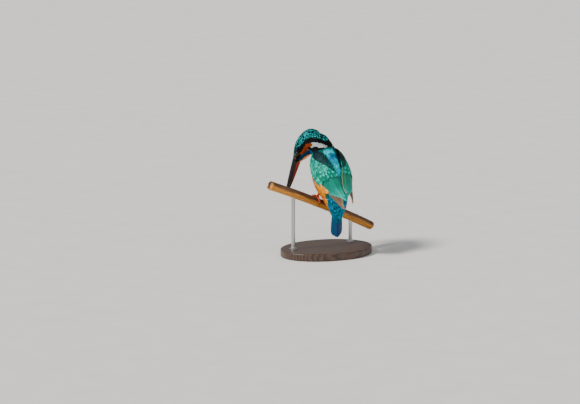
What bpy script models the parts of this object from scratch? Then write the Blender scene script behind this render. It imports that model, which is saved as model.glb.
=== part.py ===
"""A female common kingfisher, life size, looking steeply down from a cut length of dry reed stem.

The stem is held over a flat base by two short rods. Everything is in metres, +Z up, with the origin at
the centre of the base's underside. The bird's trunk faces +Y and its left side is -X. The head is turned
to the left and hangs down, so that the bill points past the front of the stem.

Places on the bird are given from the perch point: the point on the stem's axis between the feet.
"""

import math

import bmesh
import bpy
from mathutils import Matrix, Vector

MM = 0.001
GAP = 0.3 * MM  # between pieces that touch

# Stand and perch
BASE_LENGTH = 104 * MM
BASE_DEPTH = 80 * MM
BASE_THICKNESS = 8 * MM
BASE_BEVEL = 1.2 * MM
ROD_RADIUS = 2.0 * MM
ROD_OFFSETS = {"stand_rod_left": -37 * MM, "stand_rod_right": 37 * MM}
SOCKET_DEPTH = 5 * MM
PERCH_POINT = Vector((0, 8, 52)) * MM
STEM_RADIUS = 4.9 * MM
STEM_FLATTENING = 0.95  # its height over its width
STEM_SLOPE = math.radians(23.3)  # falls towards the bird's right
STEM_BEND = 0.47  # its ends drop by this times their distance from the feet squared, in 1/m
STEM_ENDS = (-66 * MM, 64 * MM)
STEM_RIBS = 9
STEM_RINGS = 9

# Head
HEAD_CENTRE = Vector((-13.6, 20.2, 58.1)) * MM  # on the bill's axis
HEAD_TURN = math.radians(50)  # to the bird's left
HEAD_DOWN = math.radians(73)
BILL_START = 15 * MM  # ahead of the head's centre
BILL_LENGTH = 36.5 * MM
BILL_DEPTH = 8.8 * MM
BILL_WIDTH = 8.0 * MM
EYE_RADIUS = 3.6 * MM
EYE_PLACE = Vector((6.7, 4.8, 1.2)) * MM  # out to the side, ahead and up from the head's centre

# Legs
FOOT_SPREAD = 7.8 * MM  # each foot from the bird's middle
TARSUS_RADIUS = 1.35 * MM
TOE_RADIUS = 1.15 * MM
CLAW_LENGTH = 3.2 * MM
TOE_START = -14  # degrees round the stem from its top, a little behind
# Each toe: how far out from the foot's middle, in mm, and how far it turns round the stem, in degrees
TOES = (
    (-2.3, 92),
    (0.0, 125),
    (2.2, 112),
    (-0.6, -78),  # the hind toe
)

# Tail
TAIL_ROOT = Vector((0, -28.3, -1)) * MM
TAIL_TIP = Vector((0, -27.3, -31)) * MM


def clear_scene():
    for old in list(bpy.data.objects):
        bpy.data.objects.remove(old)


def finish_colour(name, colour, roughness, metallic=0.0):
    made = bpy.data.materials.new(name)
    made.use_nodes = True
    shader = made.node_tree.nodes["Principled BSDF"]
    shader.inputs["Base Color"].default_value = (*colour, 1)
    shader.inputs["Roughness"].default_value = roughness
    shader.inputs["Metallic"].default_value = metallic
    return made


def link(name, bm, smooth=True):
    mesh = bpy.data.meshes.new(name)
    bmesh.ops.recalc_face_normals(bm, faces=bm.faces)
    bm.to_mesh(mesh)
    bm.free()
    if smooth:
        mesh.shade_smooth()
    made = bpy.data.objects.new(name, mesh)
    bpy.context.scene.collection.objects.link(made)
    return made


def applied(obj):
    """Replaces the object's mesh by what its modifiers make of it."""
    graph = bpy.context.evaluated_depsgraph_get()
    made = bpy.data.meshes.new_from_object(obj.evaluated_get(graph))
    obj.modifiers.clear()
    obj.data = made
    return obj


def copy_of(obj, name):
    made = obj.copy()
    made.data = obj.data.copy()
    made.name = name
    bpy.context.scene.collection.objects.link(made)
    return made


def grown(obj, by):
    """A copy that is larger all round, for cutting a clearance."""
    made = copy_of(obj, "cutter")
    swell = made.modifiers.new("grow", "DISPLACE")
    swell.strength = by
    swell.mid_level = 0
    return applied(made)


def boolean(obj, others, operation):
    for other in others:
        step = obj.modifiers.new(operation.lower(), "BOOLEAN")
        step.operation = operation
        step.object = other
        applied(obj)
        bpy.data.objects.remove(other)
    return obj


# ---- lofted forms ----


def ring(bm, centre, side, up, half_width, above, below, segments):
    """An oval of vertices: its upper half is as high as above, its lower half as deep as below."""
    made = bmesh.ops.create_circle(bm, segments=segments, radius=1.0)["verts"]
    for v in made:
        across, rise = v.co.x, v.co.y
        v.co = centre + side * (across * half_width) + up * (rise * (above if rise > 0 else below))
    return made


def closed_between(name, bm, loops, smooth=True):
    """A body whose wall joins the edge loops in turn, with a face over each end."""
    for first, second in zip(loops, loops[1:]):
        bmesh.ops.bridge_loops(bm, edges=list(first | second))
    for end in (loops[0], loops[-1]):
        bmesh.ops.contextual_create(bm, geom=list(end))
    return link(name, bm, smooth)


def loft(name, rings, segments=24):
    """A closed body through rings of (centre, side, up, half width, above, below)."""
    bm = bmesh.new()
    loops = [ring(bm, *r, segments) for r in rings]
    edges = [{e for v in loop for e in v.link_edges} for loop in loops]
    return closed_between(name, bm, edges)


def upright_ring(x, y, z, pitch, half_width, above, below, turn=0.0):
    """A ring of the trunk or neck, in mm and degrees: its axis rises at pitch and turns left by turn."""
    forward = direction(turn, -pitch)
    side = forward.cross(Vector((0, 0, 1))).normalized()
    up = side.cross(forward)
    centre = Vector((x, y, z)) * MM
    return (centre, side, up, half_width * MM, above * MM, below * MM)


def direction(turn, down):
    """The unit vector that faces ahead, turned left and tipped down, in degrees."""
    t, d = math.radians(turn), math.radians(down)
    return Vector((-math.sin(t) * math.cos(d), math.cos(t) * math.cos(d), -math.sin(d)))


def head_axes():
    """(left, ahead, up) of the head."""
    ahead = direction(math.degrees(HEAD_TURN), math.degrees(HEAD_DOWN))
    right = ahead.cross(Vector((0, 0, 1))).normalized()
    return -right, ahead, right.cross(ahead)


def at_head(left, ahead, up):
    axes = head_axes()
    return HEAD_CENTRE + axes[0] * left + axes[1] * ahead + axes[2] * up


def blended(name, forms, voxel, smoothing, share):
    """One skin round overlapping forms: joined, remeshed, smoothed and thinned out."""
    bm = bmesh.new()
    for form in forms:
        bm.from_mesh(form.data)
        bpy.data.objects.remove(form)
    whole = link(name, bm)
    remesh = whole.modifiers.new("blend", "REMESH")
    remesh.mode = "VOXEL"
    remesh.voxel_size = voxel
    smooth = whole.modifiers.new("smooth", "SMOOTH")
    smooth.iterations = smoothing
    thin = whole.modifiers.new("thin", "DECIMATE")
    thin.ratio = share
    return applied(whole)


# (x, y, z, pitch, half width, above, below) from the tail's root to the collar, in mm and degrees
TRUNK_RINGS = (
    (0, -28.5, -13, 86, 5, 2.5, 2.5),
    (0, -28, -8, 84, 7.5, 4.5, 4),
    (0, -27, -3, 80, 9.8, 9, 7),
    (0, -25.5, 3, 78, 11.6, 13, 9.5),
    (0, -23.5, 9, 76, 13.6, 15, 11.8),
    (0, -21, 16, 74, 16.6, 15.5, 15.8),
    (0, -18, 25, 70, 19.2, 15.8, 19.4),
    (0, -14.5, 33, 65, 20, 16.8, 20),
    (0, -10.5, 42, 61, 19.3, 16, 18.5),
    (0, -6.5, 50, 60, 17, 14, 15.5),
    (0, -3, 57, 56, 12, 10.5, 11),
    (0, -1, 61, 50, 7, 6, 7),
)

# The neck's rings also turn left, by the last number
NECK_RINGS = (
    (0, -7, 49, 60, 14.5, 12, 14, 0),
    (-0.5, -2.5, 57.5, 54, 13.8, 12.8, 13.5, 8),
    (-2.2, 3.5, 62.5, 32, 13.6, 13.8, 13, 22),
    (-4.8, 8.5, 64, 8, 13.8, 13.6, 12, 34),
    (-8.6, 13.5, 62.5, -30, 13.6, 12, 10.5, 46),
)

# (ahead of the head's centre, up from it, half width, above, below), in mm
HEAD_RINGS = (
    (-24.2, -8, 3.5, 3.2, 5.0),
    (-21.8, -7, 7.8, 6.4, 8.0),
    (-17.5, -5.5, 10.6, 8.4, 10.0),
    (-11.5, -4, 12.3, 9.6, 11.0),
    (-5, -3, 12.8, 10.0, 11.6),
    (1, -2.5, 12.0, 9.6, 11.0),
    (6, -2, 10.3, 8.2, 9.4),
    (10.5, -1, 7.9, 6.4, 7.0),
    (13.5, 0, 5.7, 5.0, 5.3),
    (BILL_START / MM, 0, 4.7, 4.6, 4.8),
)


def body_form():
    trunk = loft("trunk_form", [upright_ring(*r) for r in TRUNK_RINGS])
    neck = loft("neck_form", [upright_ring(*r) for r in NECK_RINGS])
    left, ahead, up = head_axes()
    head = loft(
        "head_form",
        [
            (HEAD_CENTRE + (ahead * s + up * u) * MM, left, up, w * MM, a * MM, b * MM)
            for s, u, w, a, b in HEAD_RINGS
        ],
    )
    return blended("body", [trunk, neck, head], voxel=1.0 * MM, smoothing=14, share=0.07)


# ---- cutting the body into head, neck and trunk ----

HEAD_CUT = (Vector((-4, 3, 58)) * MM, Vector((-0.25, 0.6, 0.76)).normalized())
TRUNK_CUT = (Vector((0, -7, 51)) * MM, Vector((0, 0.35, 0.94)).normalized())


def part_between(body, name, lower=None, upper=None):
    """The body's stretch between two planes, half a gap clear of each."""
    bm = bmesh.new()
    bm.from_mesh(body.data)
    for plane, keep in ((lower, 1), (upper, -1)):
        if plane is None:
            continue
        point, normal = plane
        cut = bmesh.ops.bisect_plane(
            bm,
            geom=bm.verts[:] + bm.edges[:] + bm.faces[:],
            plane_co=point + normal * (keep * GAP / 2),
            plane_no=normal * -keep,
            clear_outer=True,
        )
        rim = [e for e in cut["geom_cut"] if isinstance(e, bmesh.types.BMEdge)]
        bmesh.ops.contextual_create(bm, geom=rim)
    return link(name, bm)


def sphere(name, centre, radius, segments=16):
    bm = bmesh.new()
    bmesh.ops.create_uvsphere(
        bm,
        u_segments=segments,
        v_segments=segments // 2,
        radius=radius,
        matrix=Matrix.Translation(centre),
    )
    return link(name, bm)


def eye_centre(side):
    return at_head(-side * EYE_PLACE.x, EYE_PLACE.y, EYE_PLACE.z)


# ---- bill ----

# (share of the length, share of the half width, share of the depth)
BILL_PROFILE = (
    (0.0, 1.0, 1.0),
    (0.12, 0.88, 0.94),
    (0.3, 0.72, 0.84),
    (0.55, 0.53, 0.68),
    (0.78, 0.35, 0.47),
    (0.92, 0.19, 0.25),
    (1.0, 0.06, 0.07),
)


def mandible(name, sign):
    """Half of the closed bill: sign is 1 for the upper mandible and -1 for the lower."""
    left, ahead, up = head_axes()
    rings = []
    for share, wide, deep in BILL_PROFILE:
        centre = HEAD_CENTRE + ahead * (BILL_START + GAP + share * BILL_LENGTH)
        half = BILL_DEPTH / 2 * deep
        rings.append((centre, left, up, BILL_WIDTH / 2 * wide, half, half))
    whole = loft(name, rings, segments=20)
    bm = bmesh.new()
    bm.from_mesh(whole.data)
    bpy.data.objects.remove(whole)
    cut = bmesh.ops.bisect_plane(
        bm,
        geom=bm.verts[:] + bm.edges[:] + bm.faces[:],
        plane_co=HEAD_CENTRE + up * (sign * GAP / 2),
        plane_no=up * -sign,
        clear_outer=True,
    )
    rim = [e for e in cut["geom_cut"] if isinstance(e, bmesh.types.BMEdge)]
    bmesh.ops.contextual_create(bm, geom=rim)
    return link(name, bm)


# ---- wings ----

# Each row is one place along the folded wing: the arc's centre (y, z), the lean of its plane, its
# sideways and backward radius, and the angles from the middle of the back to its upper edge on the left
# wing, on the right wing, and to its lower edge, in mm and degrees.
WING_ROWS = (
    # along, y,    z,    lean, wide, deep, left, right, low
    (0.00, -2.5, 55.5, 58, 14.5, 13.0, 66, 60, 100),
    (0.08, -5.5, 51.0, 58, 17.8, 15.6, 50, 36, 112),
    (0.22, -10.5, 43.5, 56, 20.3, 18.0, 31, 15, 118),
    (0.40, -17.0, 34.5, 53, 21.6, 18.2, 17, 6, 109),
    (0.58, -24.5, 26.0, 48, 20.0, 14.6, 8, 2.5, 97),
    (0.74, -31.5, 18.0, 45, 16.5, 10.8, 2.5, 2, 88),
    (0.88, -39.5, 11.0, 44, 12.0, 7.6, 3, 3, 80),
    (1.00, -46.5, 5.0, 44, 8.0, 4.8, 20, 20, 62),
)
WING_DROOP = {-1: 5.5, 1: -0.5}  # how far the left and right tips hang down, in mm
WING_STEPS, WING_ACROSS = 15, 6
WING_THICKNESS = 2.0 * MM


def smooth_rows(rows, at):
    """The row at a share along, read from a smooth curve through the rows."""
    last = len(rows) - 2
    i = next((k for k in range(last + 1) if at <= rows[k + 1][0]), last)
    r0, r1, r2, r3 = (rows[min(max(k, 0), last + 1)] for k in (i - 1, i, i + 1, i + 2))
    t = (at - r1[0]) / (r2[0] - r1[0])
    out = []
    for a, b, c, d in zip(r0[1:], r1[1:], r2[1:], r3[1:]):
        m1 = (c - a) / (r2[0] - r0[0]) * (r2[0] - r1[0])
        m2 = (d - b) / (r3[0] - r1[0]) * (r2[0] - r1[0])
        out.append(
            (2 * t**3 - 3 * t**2 + 1) * b
            + (t**3 - 2 * t**2 + t) * m1
            + (3 * t**2 - 2 * t**3) * c
            + (t**3 - t**2) * m2
        )
    return out


def wing_point(side, along, across):
    """A point on the folded wing's outer face: along is 0 at the bend and 1 at the tip, across 0 at the
    edge by the back and 1 at the lower edge."""
    y, z, lean, wide, deep, left, right, low = smooth_rows(WING_ROWS, along)
    top = left if side < 0 else right
    angle = math.radians(top + (low - top) * across)
    tilt = math.radians(lean)
    back = Vector((0, -math.sin(tilt), math.cos(tilt)))
    centre = Vector((0, y, z - WING_DROOP[side] * along**2))
    point = centre + back * (deep * math.cos(angle))
    point.x += side * wide * math.sin(angle)
    return point * MM


def wing(name, side, body):
    bm = bmesh.new()
    bmesh.ops.create_grid(bm, x_segments=WING_ACROSS, y_segments=WING_STEPS, size=1.0)
    for v in bm.verts:
        v.co = wing_point(side, (v.co.y + 1) / 2, (v.co.x + 1) / 2)
    sheet = link(name, bm)
    if sheet.data.polygons[0].normal.x * side < 0:
        sheet.data.flip_normals()
    shell = sheet.modifiers.new("thickness", "SOLIDIFY")
    shell.thickness = WING_THICKNESS
    shell.offset = -1
    applied(sheet)
    return boolean(sheet, [grown(body, GAP)], "DIFFERENCE")


# ---- tail, legs, perch and stand ----

# (share of the length, half width, half thickness), in mm
TAIL_PROFILE = (
    (0.0, 7.5, 1.8),
    (0.2, 8.6, 1.8),
    (0.5, 8.0, 1.4),
    (0.8, 7.0, 1.0),
    (0.93, 6.0, 0.8),
    (1.0, 4.4, 0.6),
)


def tail(body):
    along = TAIL_TIP - TAIL_ROOT
    side = Vector((1, 0, 0))
    up = side.cross(along).normalized()
    rings = [
        (TAIL_ROOT + along * share, side, up, w * MM, t * MM, t * MM)
        for share, w, t in TAIL_PROFILE
    ]
    made = loft("tail", rings, segments=20)
    return boolean(made, [grown(body, GAP)], "DIFFERENCE")


def stem_point(x):
    """The stem's axis at x: a straight slope that bows down a little towards both ends."""
    return Vector((x, 0, -x * math.tan(STEM_SLOPE) - STEM_BEND * x * x))


def tube(name, points, radii, segments=10):
    """A closed round tube through the points, in their own plane."""
    rings = []
    for i, (point, radius) in enumerate(zip(points, radii)):
        before, after = points[max(i - 1, 0)], points[min(i + 1, len(points) - 1)]
        ahead = (after - before).normalized()
        side = Vector((1, 0, 0)) - ahead * ahead.x
        side.normalize()
        rings.append((point, side, side.cross(ahead), radius, radius, radius))
    return loft(name, rings, segments)


def toe(foot_x, offset, sweep):
    """A toe that goes over the stem and down its far side, and the claw at its end."""
    x = foot_x + offset * MM
    axis = stem_point(x)
    start = math.radians(TOE_START)
    turn = math.radians(sweep)
    points, radii = [], []
    steps = 9
    for i in range(steps + 1):
        share = i / steps
        angle = start + turn * share
        reach = STEM_RADIUS + TOE_RADIUS
        across = math.sin(angle) * reach
        rise = math.cos(angle) * (STEM_FLATTENING * STEM_RADIUS + TOE_RADIUS)
        tilt = 1 / math.cos(STEM_SLOPE)
        points.append(axis + Vector((0, across, rise * tilt)))
        radii.append(TOE_RADIUS * (1.08 - 0.3 * share + 0.05 * math.cos(share * 18)))
    last = (points[-1] - points[-2]).normalized()
    for i in range(1, 4):
        share = i / 3
        bend = Vector((0, -math.sin(turn + start), 0)) * (0.22 * share * share * CLAW_LENGTH)
        points.append(points[steps] + last * (share * CLAW_LENGTH) + bend)
        radii.append(TOE_RADIUS * (0.62 - 0.46 * share))
    return tube("toe", points, radii)


def leg(name, side, perch):
    """The bare leg and foot: tarsus, three toes ahead and one behind, pressed flat against the perch."""
    foot_x = side * FOOT_SPREAD
    on_stem = stem_point(foot_x) + Vector((0, -1.2, 6.0)) * MM
    ankle = Vector((side * 8.2, -7.0, 13.5)) * MM
    shin = [on_stem.lerp(ankle, i / 4) for i in range(5)]
    forms = [tube("shin", shin, [TARSUS_RADIUS * f for f in (1.35, 1.0, 1.0, 1.05, 1.2)])]
    forms += [toe(foot_x, side * offset, sweep) for offset, sweep in TOES]
    whole = blended(name, forms, voxel=0.34 * MM, smoothing=1, share=0.07)
    return boolean(whole, [grown(perch, GAP)], "DIFFERENCE")


def stem(name):
    """The reed stem: slightly flat, ribbed along its length and cut square at both ends."""
    bm = bmesh.new()
    loops = []
    for i in range(STEM_RINGS):
        x = STEM_ENDS[0] + (STEM_ENDS[1] - STEM_ENDS[0]) * i / (STEM_RINGS - 1)
        ahead = (stem_point(x + MM) - stem_point(x - MM)).normalized()
        up = Vector((0, 1, 0)).cross(-ahead)
        loop = bmesh.ops.create_circle(bm, segments=4 * STEM_RIBS, radius=STEM_RADIUS)["verts"]
        for v in loop:
            rib = 1 + 0.025 * math.cos(STEM_RIBS * math.atan2(v.co.y, v.co.x))
            v.co = stem_point(x) + Vector((0, v.co.x * rib, 0)) + up * (v.co.y * rib * STEM_FLATTENING)
        loops.append({e for v in loop for e in v.link_edges})
    return closed_between(name, bm, loops, smooth=False)


def cylinder(name, radius, bottom, top, x, y, segments=20):
    bm = bmesh.new()
    bmesh.ops.create_cone(
        bm,
        cap_ends=True,
        segments=segments,
        radius1=radius,
        radius2=radius,
        depth=top - bottom,
        matrix=Matrix.Translation((x, y, (top + bottom) / 2)),
    )
    made = link(name, bm)
    made.data.set_sharp_from_angle(angle=math.radians(40))
    return made


def base(name):
    """A flat oval with its edges eased, centred on the origin."""
    bm = bmesh.new()
    bmesh.ops.create_cone(
        bm, cap_ends=True, segments=56, radius1=1, radius2=1, depth=BASE_THICKNESS
    )
    bmesh.ops.scale(bm, vec=(BASE_LENGTH / 2, BASE_DEPTH / 2, 1), verts=bm.verts)
    bmesh.ops.translate(bm, vec=(0, 0, BASE_THICKNESS / 2), verts=bm.verts)
    made = link(name, bm)
    edge = made.modifiers.new("eased edges", "BEVEL")
    edge.width = BASE_BEVEL
    edge.segments = 2
    edge.limit_method = "ANGLE"
    return applied(made)


def main():
    clear_scene()
    feather = finish_colour("feather_teal", (0.01, 0.23, 0.24), 0.5)
    orange = finish_colour("feather_orange", (0.62, 0.2, 0.03), 0.6)
    blue = finish_colour("feather_blue", (0.0, 0.18, 0.4), 0.45)
    horn = finish_colour("bill_black", (0.02, 0.018, 0.02), 0.35)
    red_horn = finish_colour("bill_red", (0.3, 0.05, 0.02), 0.4)
    red_skin = finish_colour("leg_red", (0.7, 0.1, 0.03), 0.5)
    eye_brown = finish_colour("eye_brown", (0.03, 0.015, 0.01), 0.1)
    reed = finish_colour("reed_dry", (0.45, 0.25, 0.12), 0.7)
    black = finish_colour("stand_black", (0.03, 0.03, 0.03), 0.5)
    steel = finish_colour("stand_steel", (0.55, 0.55, 0.56), 0.35, 1.0)

    body = body_form()
    wings = {n: wing(n, s, body) for n, s in (("wing_left", -1), ("wing_right", 1))}
    tail_fan = tail(body)
    perch = stem("perch_reed")
    legs = {n: leg(n, s, perch) for n, s in (("leg_left", -1), ("leg_right", 1))}
    clearances = [sphere("cutter", eye_centre(s), EYE_RADIUS + GAP) for s in (-1, 1)]
    clearances += [grown(legs[n], GAP) for n in legs]
    boolean(body, clearances, "DIFFERENCE")
    shaped = {
        "head": part_between(body, "head", lower=HEAD_CUT),
        "neck": part_between(body, "neck", lower=TRUNK_CUT, upper=HEAD_CUT),
        "trunk": part_between(body, "trunk", upper=TRUNK_CUT),
        "tail": tail_fan,
        "bill_upper": mandible("bill_upper", 1),
        "bill_lower": mandible("bill_lower", -1),
        "eye_left": sphere("eye_left", eye_centre(-1), EYE_RADIUS),
        "eye_right": sphere("eye_right", eye_centre(1), EYE_RADIUS),
        "perch_reed": perch,
        **wings,
        **legs,
    }
    bpy.data.objects.remove(body)
    for obj in shaped.values():
        obj.data.transform(Matrix.Translation(PERCH_POINT))

    shaped["stand_base"] = base("stand_base")
    for name, x in ROD_OFFSETS.items():
        y = PERCH_POINT.y
        top = (PERCH_POINT + stem_point(x)).z
        bottom = BASE_THICKNESS - SOCKET_DEPTH
        shaped[name] = cylinder(name, ROD_RADIUS, bottom, top, x, y)
        socket = (ROD_RADIUS + GAP, bottom - GAP, top + GAP, x, y)
        boolean(shaped["perch_reed"], [cylinder("cutter", *socket)], "DIFFERENCE")
        boolean(shaped["stand_base"], [cylinder("cutter", *socket)], "DIFFERENCE")

    looks = {
        feather: ("head", "neck", "wing_left", "wing_right"),
        orange: ("trunk",),
        blue: ("tail",),
        horn: ("bill_upper",),
        red_horn: ("bill_lower",),
        red_skin: ("leg_left", "leg_right"),
        eye_brown: ("eye_left", "eye_right"),
        reed: ("perch_reed",),
        black: ("stand_base",),
        steel: tuple(ROD_OFFSETS),
    }
    for material, names in looks.items():
        for name in names:
            shaped[name].data.materials.clear()
            shaped[name].data.materials.append(material)


main()
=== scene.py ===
import math

import bmesh
import bpy
import numpy as np
from mathutils import Matrix, Vector
from mathutils.bvhtree import BVHTree
from mathutils.kdtree import KDTree


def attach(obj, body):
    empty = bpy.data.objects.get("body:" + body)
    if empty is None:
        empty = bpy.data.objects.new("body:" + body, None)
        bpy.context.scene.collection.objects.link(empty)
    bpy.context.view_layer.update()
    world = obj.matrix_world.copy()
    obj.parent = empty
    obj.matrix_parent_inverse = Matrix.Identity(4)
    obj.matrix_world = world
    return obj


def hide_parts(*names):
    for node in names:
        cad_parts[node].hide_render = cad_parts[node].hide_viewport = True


# Kingfisher on a cut length of reed, held over a small wooden base.
# Lengths are in mm from the perch point unless a line says otherwise. The trunk faces +Y and the
# bird's left side is -X.

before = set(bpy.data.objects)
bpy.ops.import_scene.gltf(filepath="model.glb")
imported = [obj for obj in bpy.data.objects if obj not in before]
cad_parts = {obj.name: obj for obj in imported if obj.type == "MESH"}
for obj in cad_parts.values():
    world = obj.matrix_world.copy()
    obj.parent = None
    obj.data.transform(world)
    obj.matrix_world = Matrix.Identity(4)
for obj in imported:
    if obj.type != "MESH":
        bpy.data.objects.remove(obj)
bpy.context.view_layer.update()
mm = 0.001
perchPoint = np.array((0.0, 8.0, 52.0))  # on the stem's axis, between the feet
sides = {"left": -1, "right": 1}  # which way each side lies along X


def unit(v):
    v = np.asarray(v, float)
    return v / np.maximum(np.linalg.norm(v, axis=-1, keepdims=True), 1e-12)


def srgb(red, green, blue):
    c = np.array((red, green, blue)) / 255.0
    return np.where(c <= 0.04045, c / 12.92, ((c + 0.055) / 1.055) ** 2.4)


def ease(low, high, x):
    t = np.clip((x - low) / (high - low), 0, 1)
    return t * t * (3 - 2 * t)


def dots(a, b):
    return (a * b).sum(-1)


def toWorld(points):
    return (np.asarray(points, float) + perchPoint) * mm


def toBird(points):
    return np.asarray(points, float) / mm - perchPoint


def readMesh(items, key):
    flat = np.empty(len(items) * 3, np.float32)
    items.foreach_get(key, flat)
    return flat.reshape(-1, 3).astype(float)


def pointsOf(mesh):
    return toBird(readMesh(mesh.vertices, "co"))


def normalsOf(mesh):
    return readMesh(mesh.vertex_normals, "vector")


def setPoints(mesh, points):
    mesh.vertices.foreach_set("co", toWorld(points).astype(np.float32).ravel())
    mesh.update()


def walked(points):
    # how far along a line of points each one is
    return np.concatenate(([0], np.cumsum(np.linalg.norm(np.diff(points, axis=0), axis=1))))


def column(table, at, keys):
    # each point of the table's line at the places asked for
    return np.stack([np.interp(at, keys, table[:, k]) for k in range(3)], -1)


def treeOf(points):
    tree = KDTree(len(points))
    for i, p in enumerate(points):
        tree.insert(p, i)
    tree.balance()
    return tree


def placed(name, data):
    made = bpy.data.objects.new(name, data)
    bpy.context.scene.collection.objects.link(made)
    return made


def addPiece(name, bm):
    mesh = bpy.data.meshes.new(name)
    bm.to_mesh(mesh)
    bm.free()
    mesh.shade_smooth()
    return placed(name, mesh)


def applied(obj):
    graph = bpy.context.evaluated_depsgraph_get()
    mesh = bpy.data.meshes.new_from_object(obj.evaluated_get(graph))
    obj.modifiers.clear()
    obj.data = mesh
    return obj


def melted(obj, voxel, rounds):
    melt = obj.modifiers.new("melt", "REMESH")
    melt.mode = "VOXEL"
    melt.voxel_size = voxel * mm
    soften = obj.modifiers.new("soften", "SMOOTH")
    soften.iterations = rounds
    return applied(obj)


def thickened(obj, thick):
    shell = obj.modifiers.new("thickness", "SOLIDIFY")
    shell.thickness = thick * mm
    shell.offset = -1
    return applied(obj)


def spun(bm, profile, steps, closed=False):
    # a profile of (radius, height) turned once round Z
    verts = [bm.verts.new((r, 0, z)) for r, z in profile]
    edges = [bm.edges.new(pair) for pair in zip(verts, verts[1:] + verts[:1] * closed)]
    bmesh.ops.spin(bm, geom=verts + edges, cent=(0, 0, 0), axis=(0, 0, 1), angle=2 * math.pi,
                   steps=steps, use_merge=True)


def loftInto(bm, rings):
    # a closed wall through rings of points, in mm
    loops = []
    for ring in rings:
        verts = bmesh.ops.create_circle(bm, segments=len(ring), radius=1.0)["verts"]
        for v, place in zip(verts, toWorld(ring)):
            v.co = place
        loops.append({e for v in verts for e in v.link_edges})
    for first, second in zip(loops, loops[1:]):
        bmesh.ops.bridge_loops(bm, edges=list(first | second))
    for end in (loops[0], loops[-1]):
        bmesh.ops.contextual_create(bm, geom=list(end))


def dress(obj, material, slotName, *nodes):
    obj.data.materials.clear()
    obj.data.materials.append(material)
    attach(obj, "root")
    if nodes:
        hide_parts(*nodes)
    return obj


def paint(mesh, colours, name="tint"):
    layer = mesh.attributes.get(name) or mesh.attributes.new(name, "FLOAT_COLOR", "POINT")
    full = np.ones((len(colours), 4), np.float32)
    full[:, :3] = colours
    layer.data.foreach_set("color", full.ravel())


# Bird's own axes: the head's, then a line down the whole bird with its back direction

headPose = {"centre": (-13.6, 20.2, 58.1), "turn": 50, "down": 73}
turn, down = math.radians(headPose["turn"]), math.radians(headPose["down"])
headCentre = np.array(headPose["centre"])
headAhead = np.array(
    (-math.sin(turn) * math.cos(down), math.cos(turn) * math.cos(down), -math.sin(down))
)
headRight = unit(np.cross(headAhead, (0, 0, 1)))
headLeft = -headRight
headUp = np.cross(headRight, headAhead)


def atHead(ahead, up, left=0.0):
    return headCentre + headAhead * ahead + headUp * up + headLeft * left


def headPlace(points):
    q = points - headCentre
    return q @ headAhead, q @ headUp, q @ headLeft


spineStations = (  # place, direction of the back there
    (atHead(15, 0), headUp),
    (atHead(5, -2), headUp),
    (atHead(-5, -4), headUp),
    ((-5.5, 11, 63.5), (0.1, 0.05, 1)),
    ((-2.2, 4, 62), (0.12, -0.35, 0.92)),
    ((-0.5, -2.5, 57.5), (0.05, -0.6, 0.75)),
    ((0, -8, 48), (0, -0.85, 0.5)),
    ((0, -14, 35), (0, -0.9, 0.4)),
    ((0, -19, 22), (0, -0.93, 0.35)),
    ((0, -23.5, 9), (0, -0.95, 0.3)),
    ((0, -27, -3), (0, -0.98, 0.2)),
    ((0, -28, -12), (0, -1, 0.1)),
)


def smoothLine(points, steps=12):
    points = np.array(points, float)
    last = len(points) - 1
    out = []
    for i in range(last):
        p0, p1, p2, p3 = (points[min(max(k, 0), last)] for k in (i - 1, i, i + 1, i + 2))
        for t in np.arange(steps) / steps:
            out.append(
                0.5 * (2 * p1 + (p2 - p0) * t + (2 * p0 - 5 * p1 + 4 * p2 - p3) * t * t
                       + (3 * p1 - 3 * p2 + p3 - p0) * t ** 3)
            )
    out.append(points[-1])
    return np.array(out)


spine = smoothLine([s[0] for s in spineStations])
spineTail = unit(np.gradient(spine, axis=0))  # towards the tail
spineBack = smoothLine([unit(s[1]) for s in spineStations])
spineBack = unit(spineBack - dots(spineBack, spineTail)[:, None] * spineTail)
spineLeft = np.cross(spineTail, spineBack)
spineRun = walked(spine)


def spinePlace(points):
    # how far down the spine, and the angle round it from the middle of the back, left positive
    run, angle = [], []
    for part in np.array_split(points, max(1, len(points) // 20000)):
        gap = part[:, None, :] - spine[None]
        near = (gap ** 2).sum(-1).argmin(1)
        q = gap[np.arange(len(part)), near]
        run.append(spineRun[near] + dots(q, spineTail[near]))
        angle.append(np.degrees(np.arctan2(dots(q, spineLeft[near]), dots(q, spineBack[near]))))
    return np.concatenate(run), np.concatenate(angle)


def spineFrame(run):
    return [column(table, run, spineRun) for table in (spine, spineBack, spineLeft)]


# Skin under the plumage: head, neck and trunk in one, drawn in by the plumage's depth

skinShape = {"swell": 0.32, "voxel": 0.55, "smoothing": 10, "headDepth": 0.55, "bodyDepth": 1.25,
             "depthChange": (22, 50)}


def makeSkin():
    bm = bmesh.new()
    for node in ("head", "neck", "trunk", "eye_left", "eye_right"):
        bm.from_mesh(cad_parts[node].data)
    bmesh.ops.remove_doubles(bm, verts=bm.verts, dist=1e-6)
    bm.normal_update()
    for v in bm.verts:
        v.co += v.normal * (skinShape["swell"] * mm)
    skin = melted(addPiece("skin", bm), skinShape["voxel"], skinShape["smoothing"])
    mesh = skin.data
    points, normals = pointsOf(mesh), normalsOf(mesh)
    run, _ = spinePlace(points)
    deeper = skinShape["bodyDepth"] - skinShape["headDepth"]
    deep = skinShape["headDepth"] + deeper * ease(*skinShape["depthChange"], run)
    setPoints(mesh, points - normals * (deep + skinShape["swell"])[:, None])
    mesh.shade_smooth()
    return skin


skin = makeSkin()

# The eyes are seated on the skin's own bulge, and the skin sinks away under each ball
eyeShape = {"radius": 3.05, "ahead": 4.8, "up": 1.2, "out": 6.7, "opening": 2.45, "lid": 0.34, "proud": 0.06,
            "sink": 1.3, "facing": (0.95, 0.24, 0.14)}  # facing is outwards, ahead and up
eyeShape["rest"] = math.sqrt(eyeShape["radius"] ** 2 - eyeShape["opening"] ** 2)
eyeSeats = {}


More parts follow.
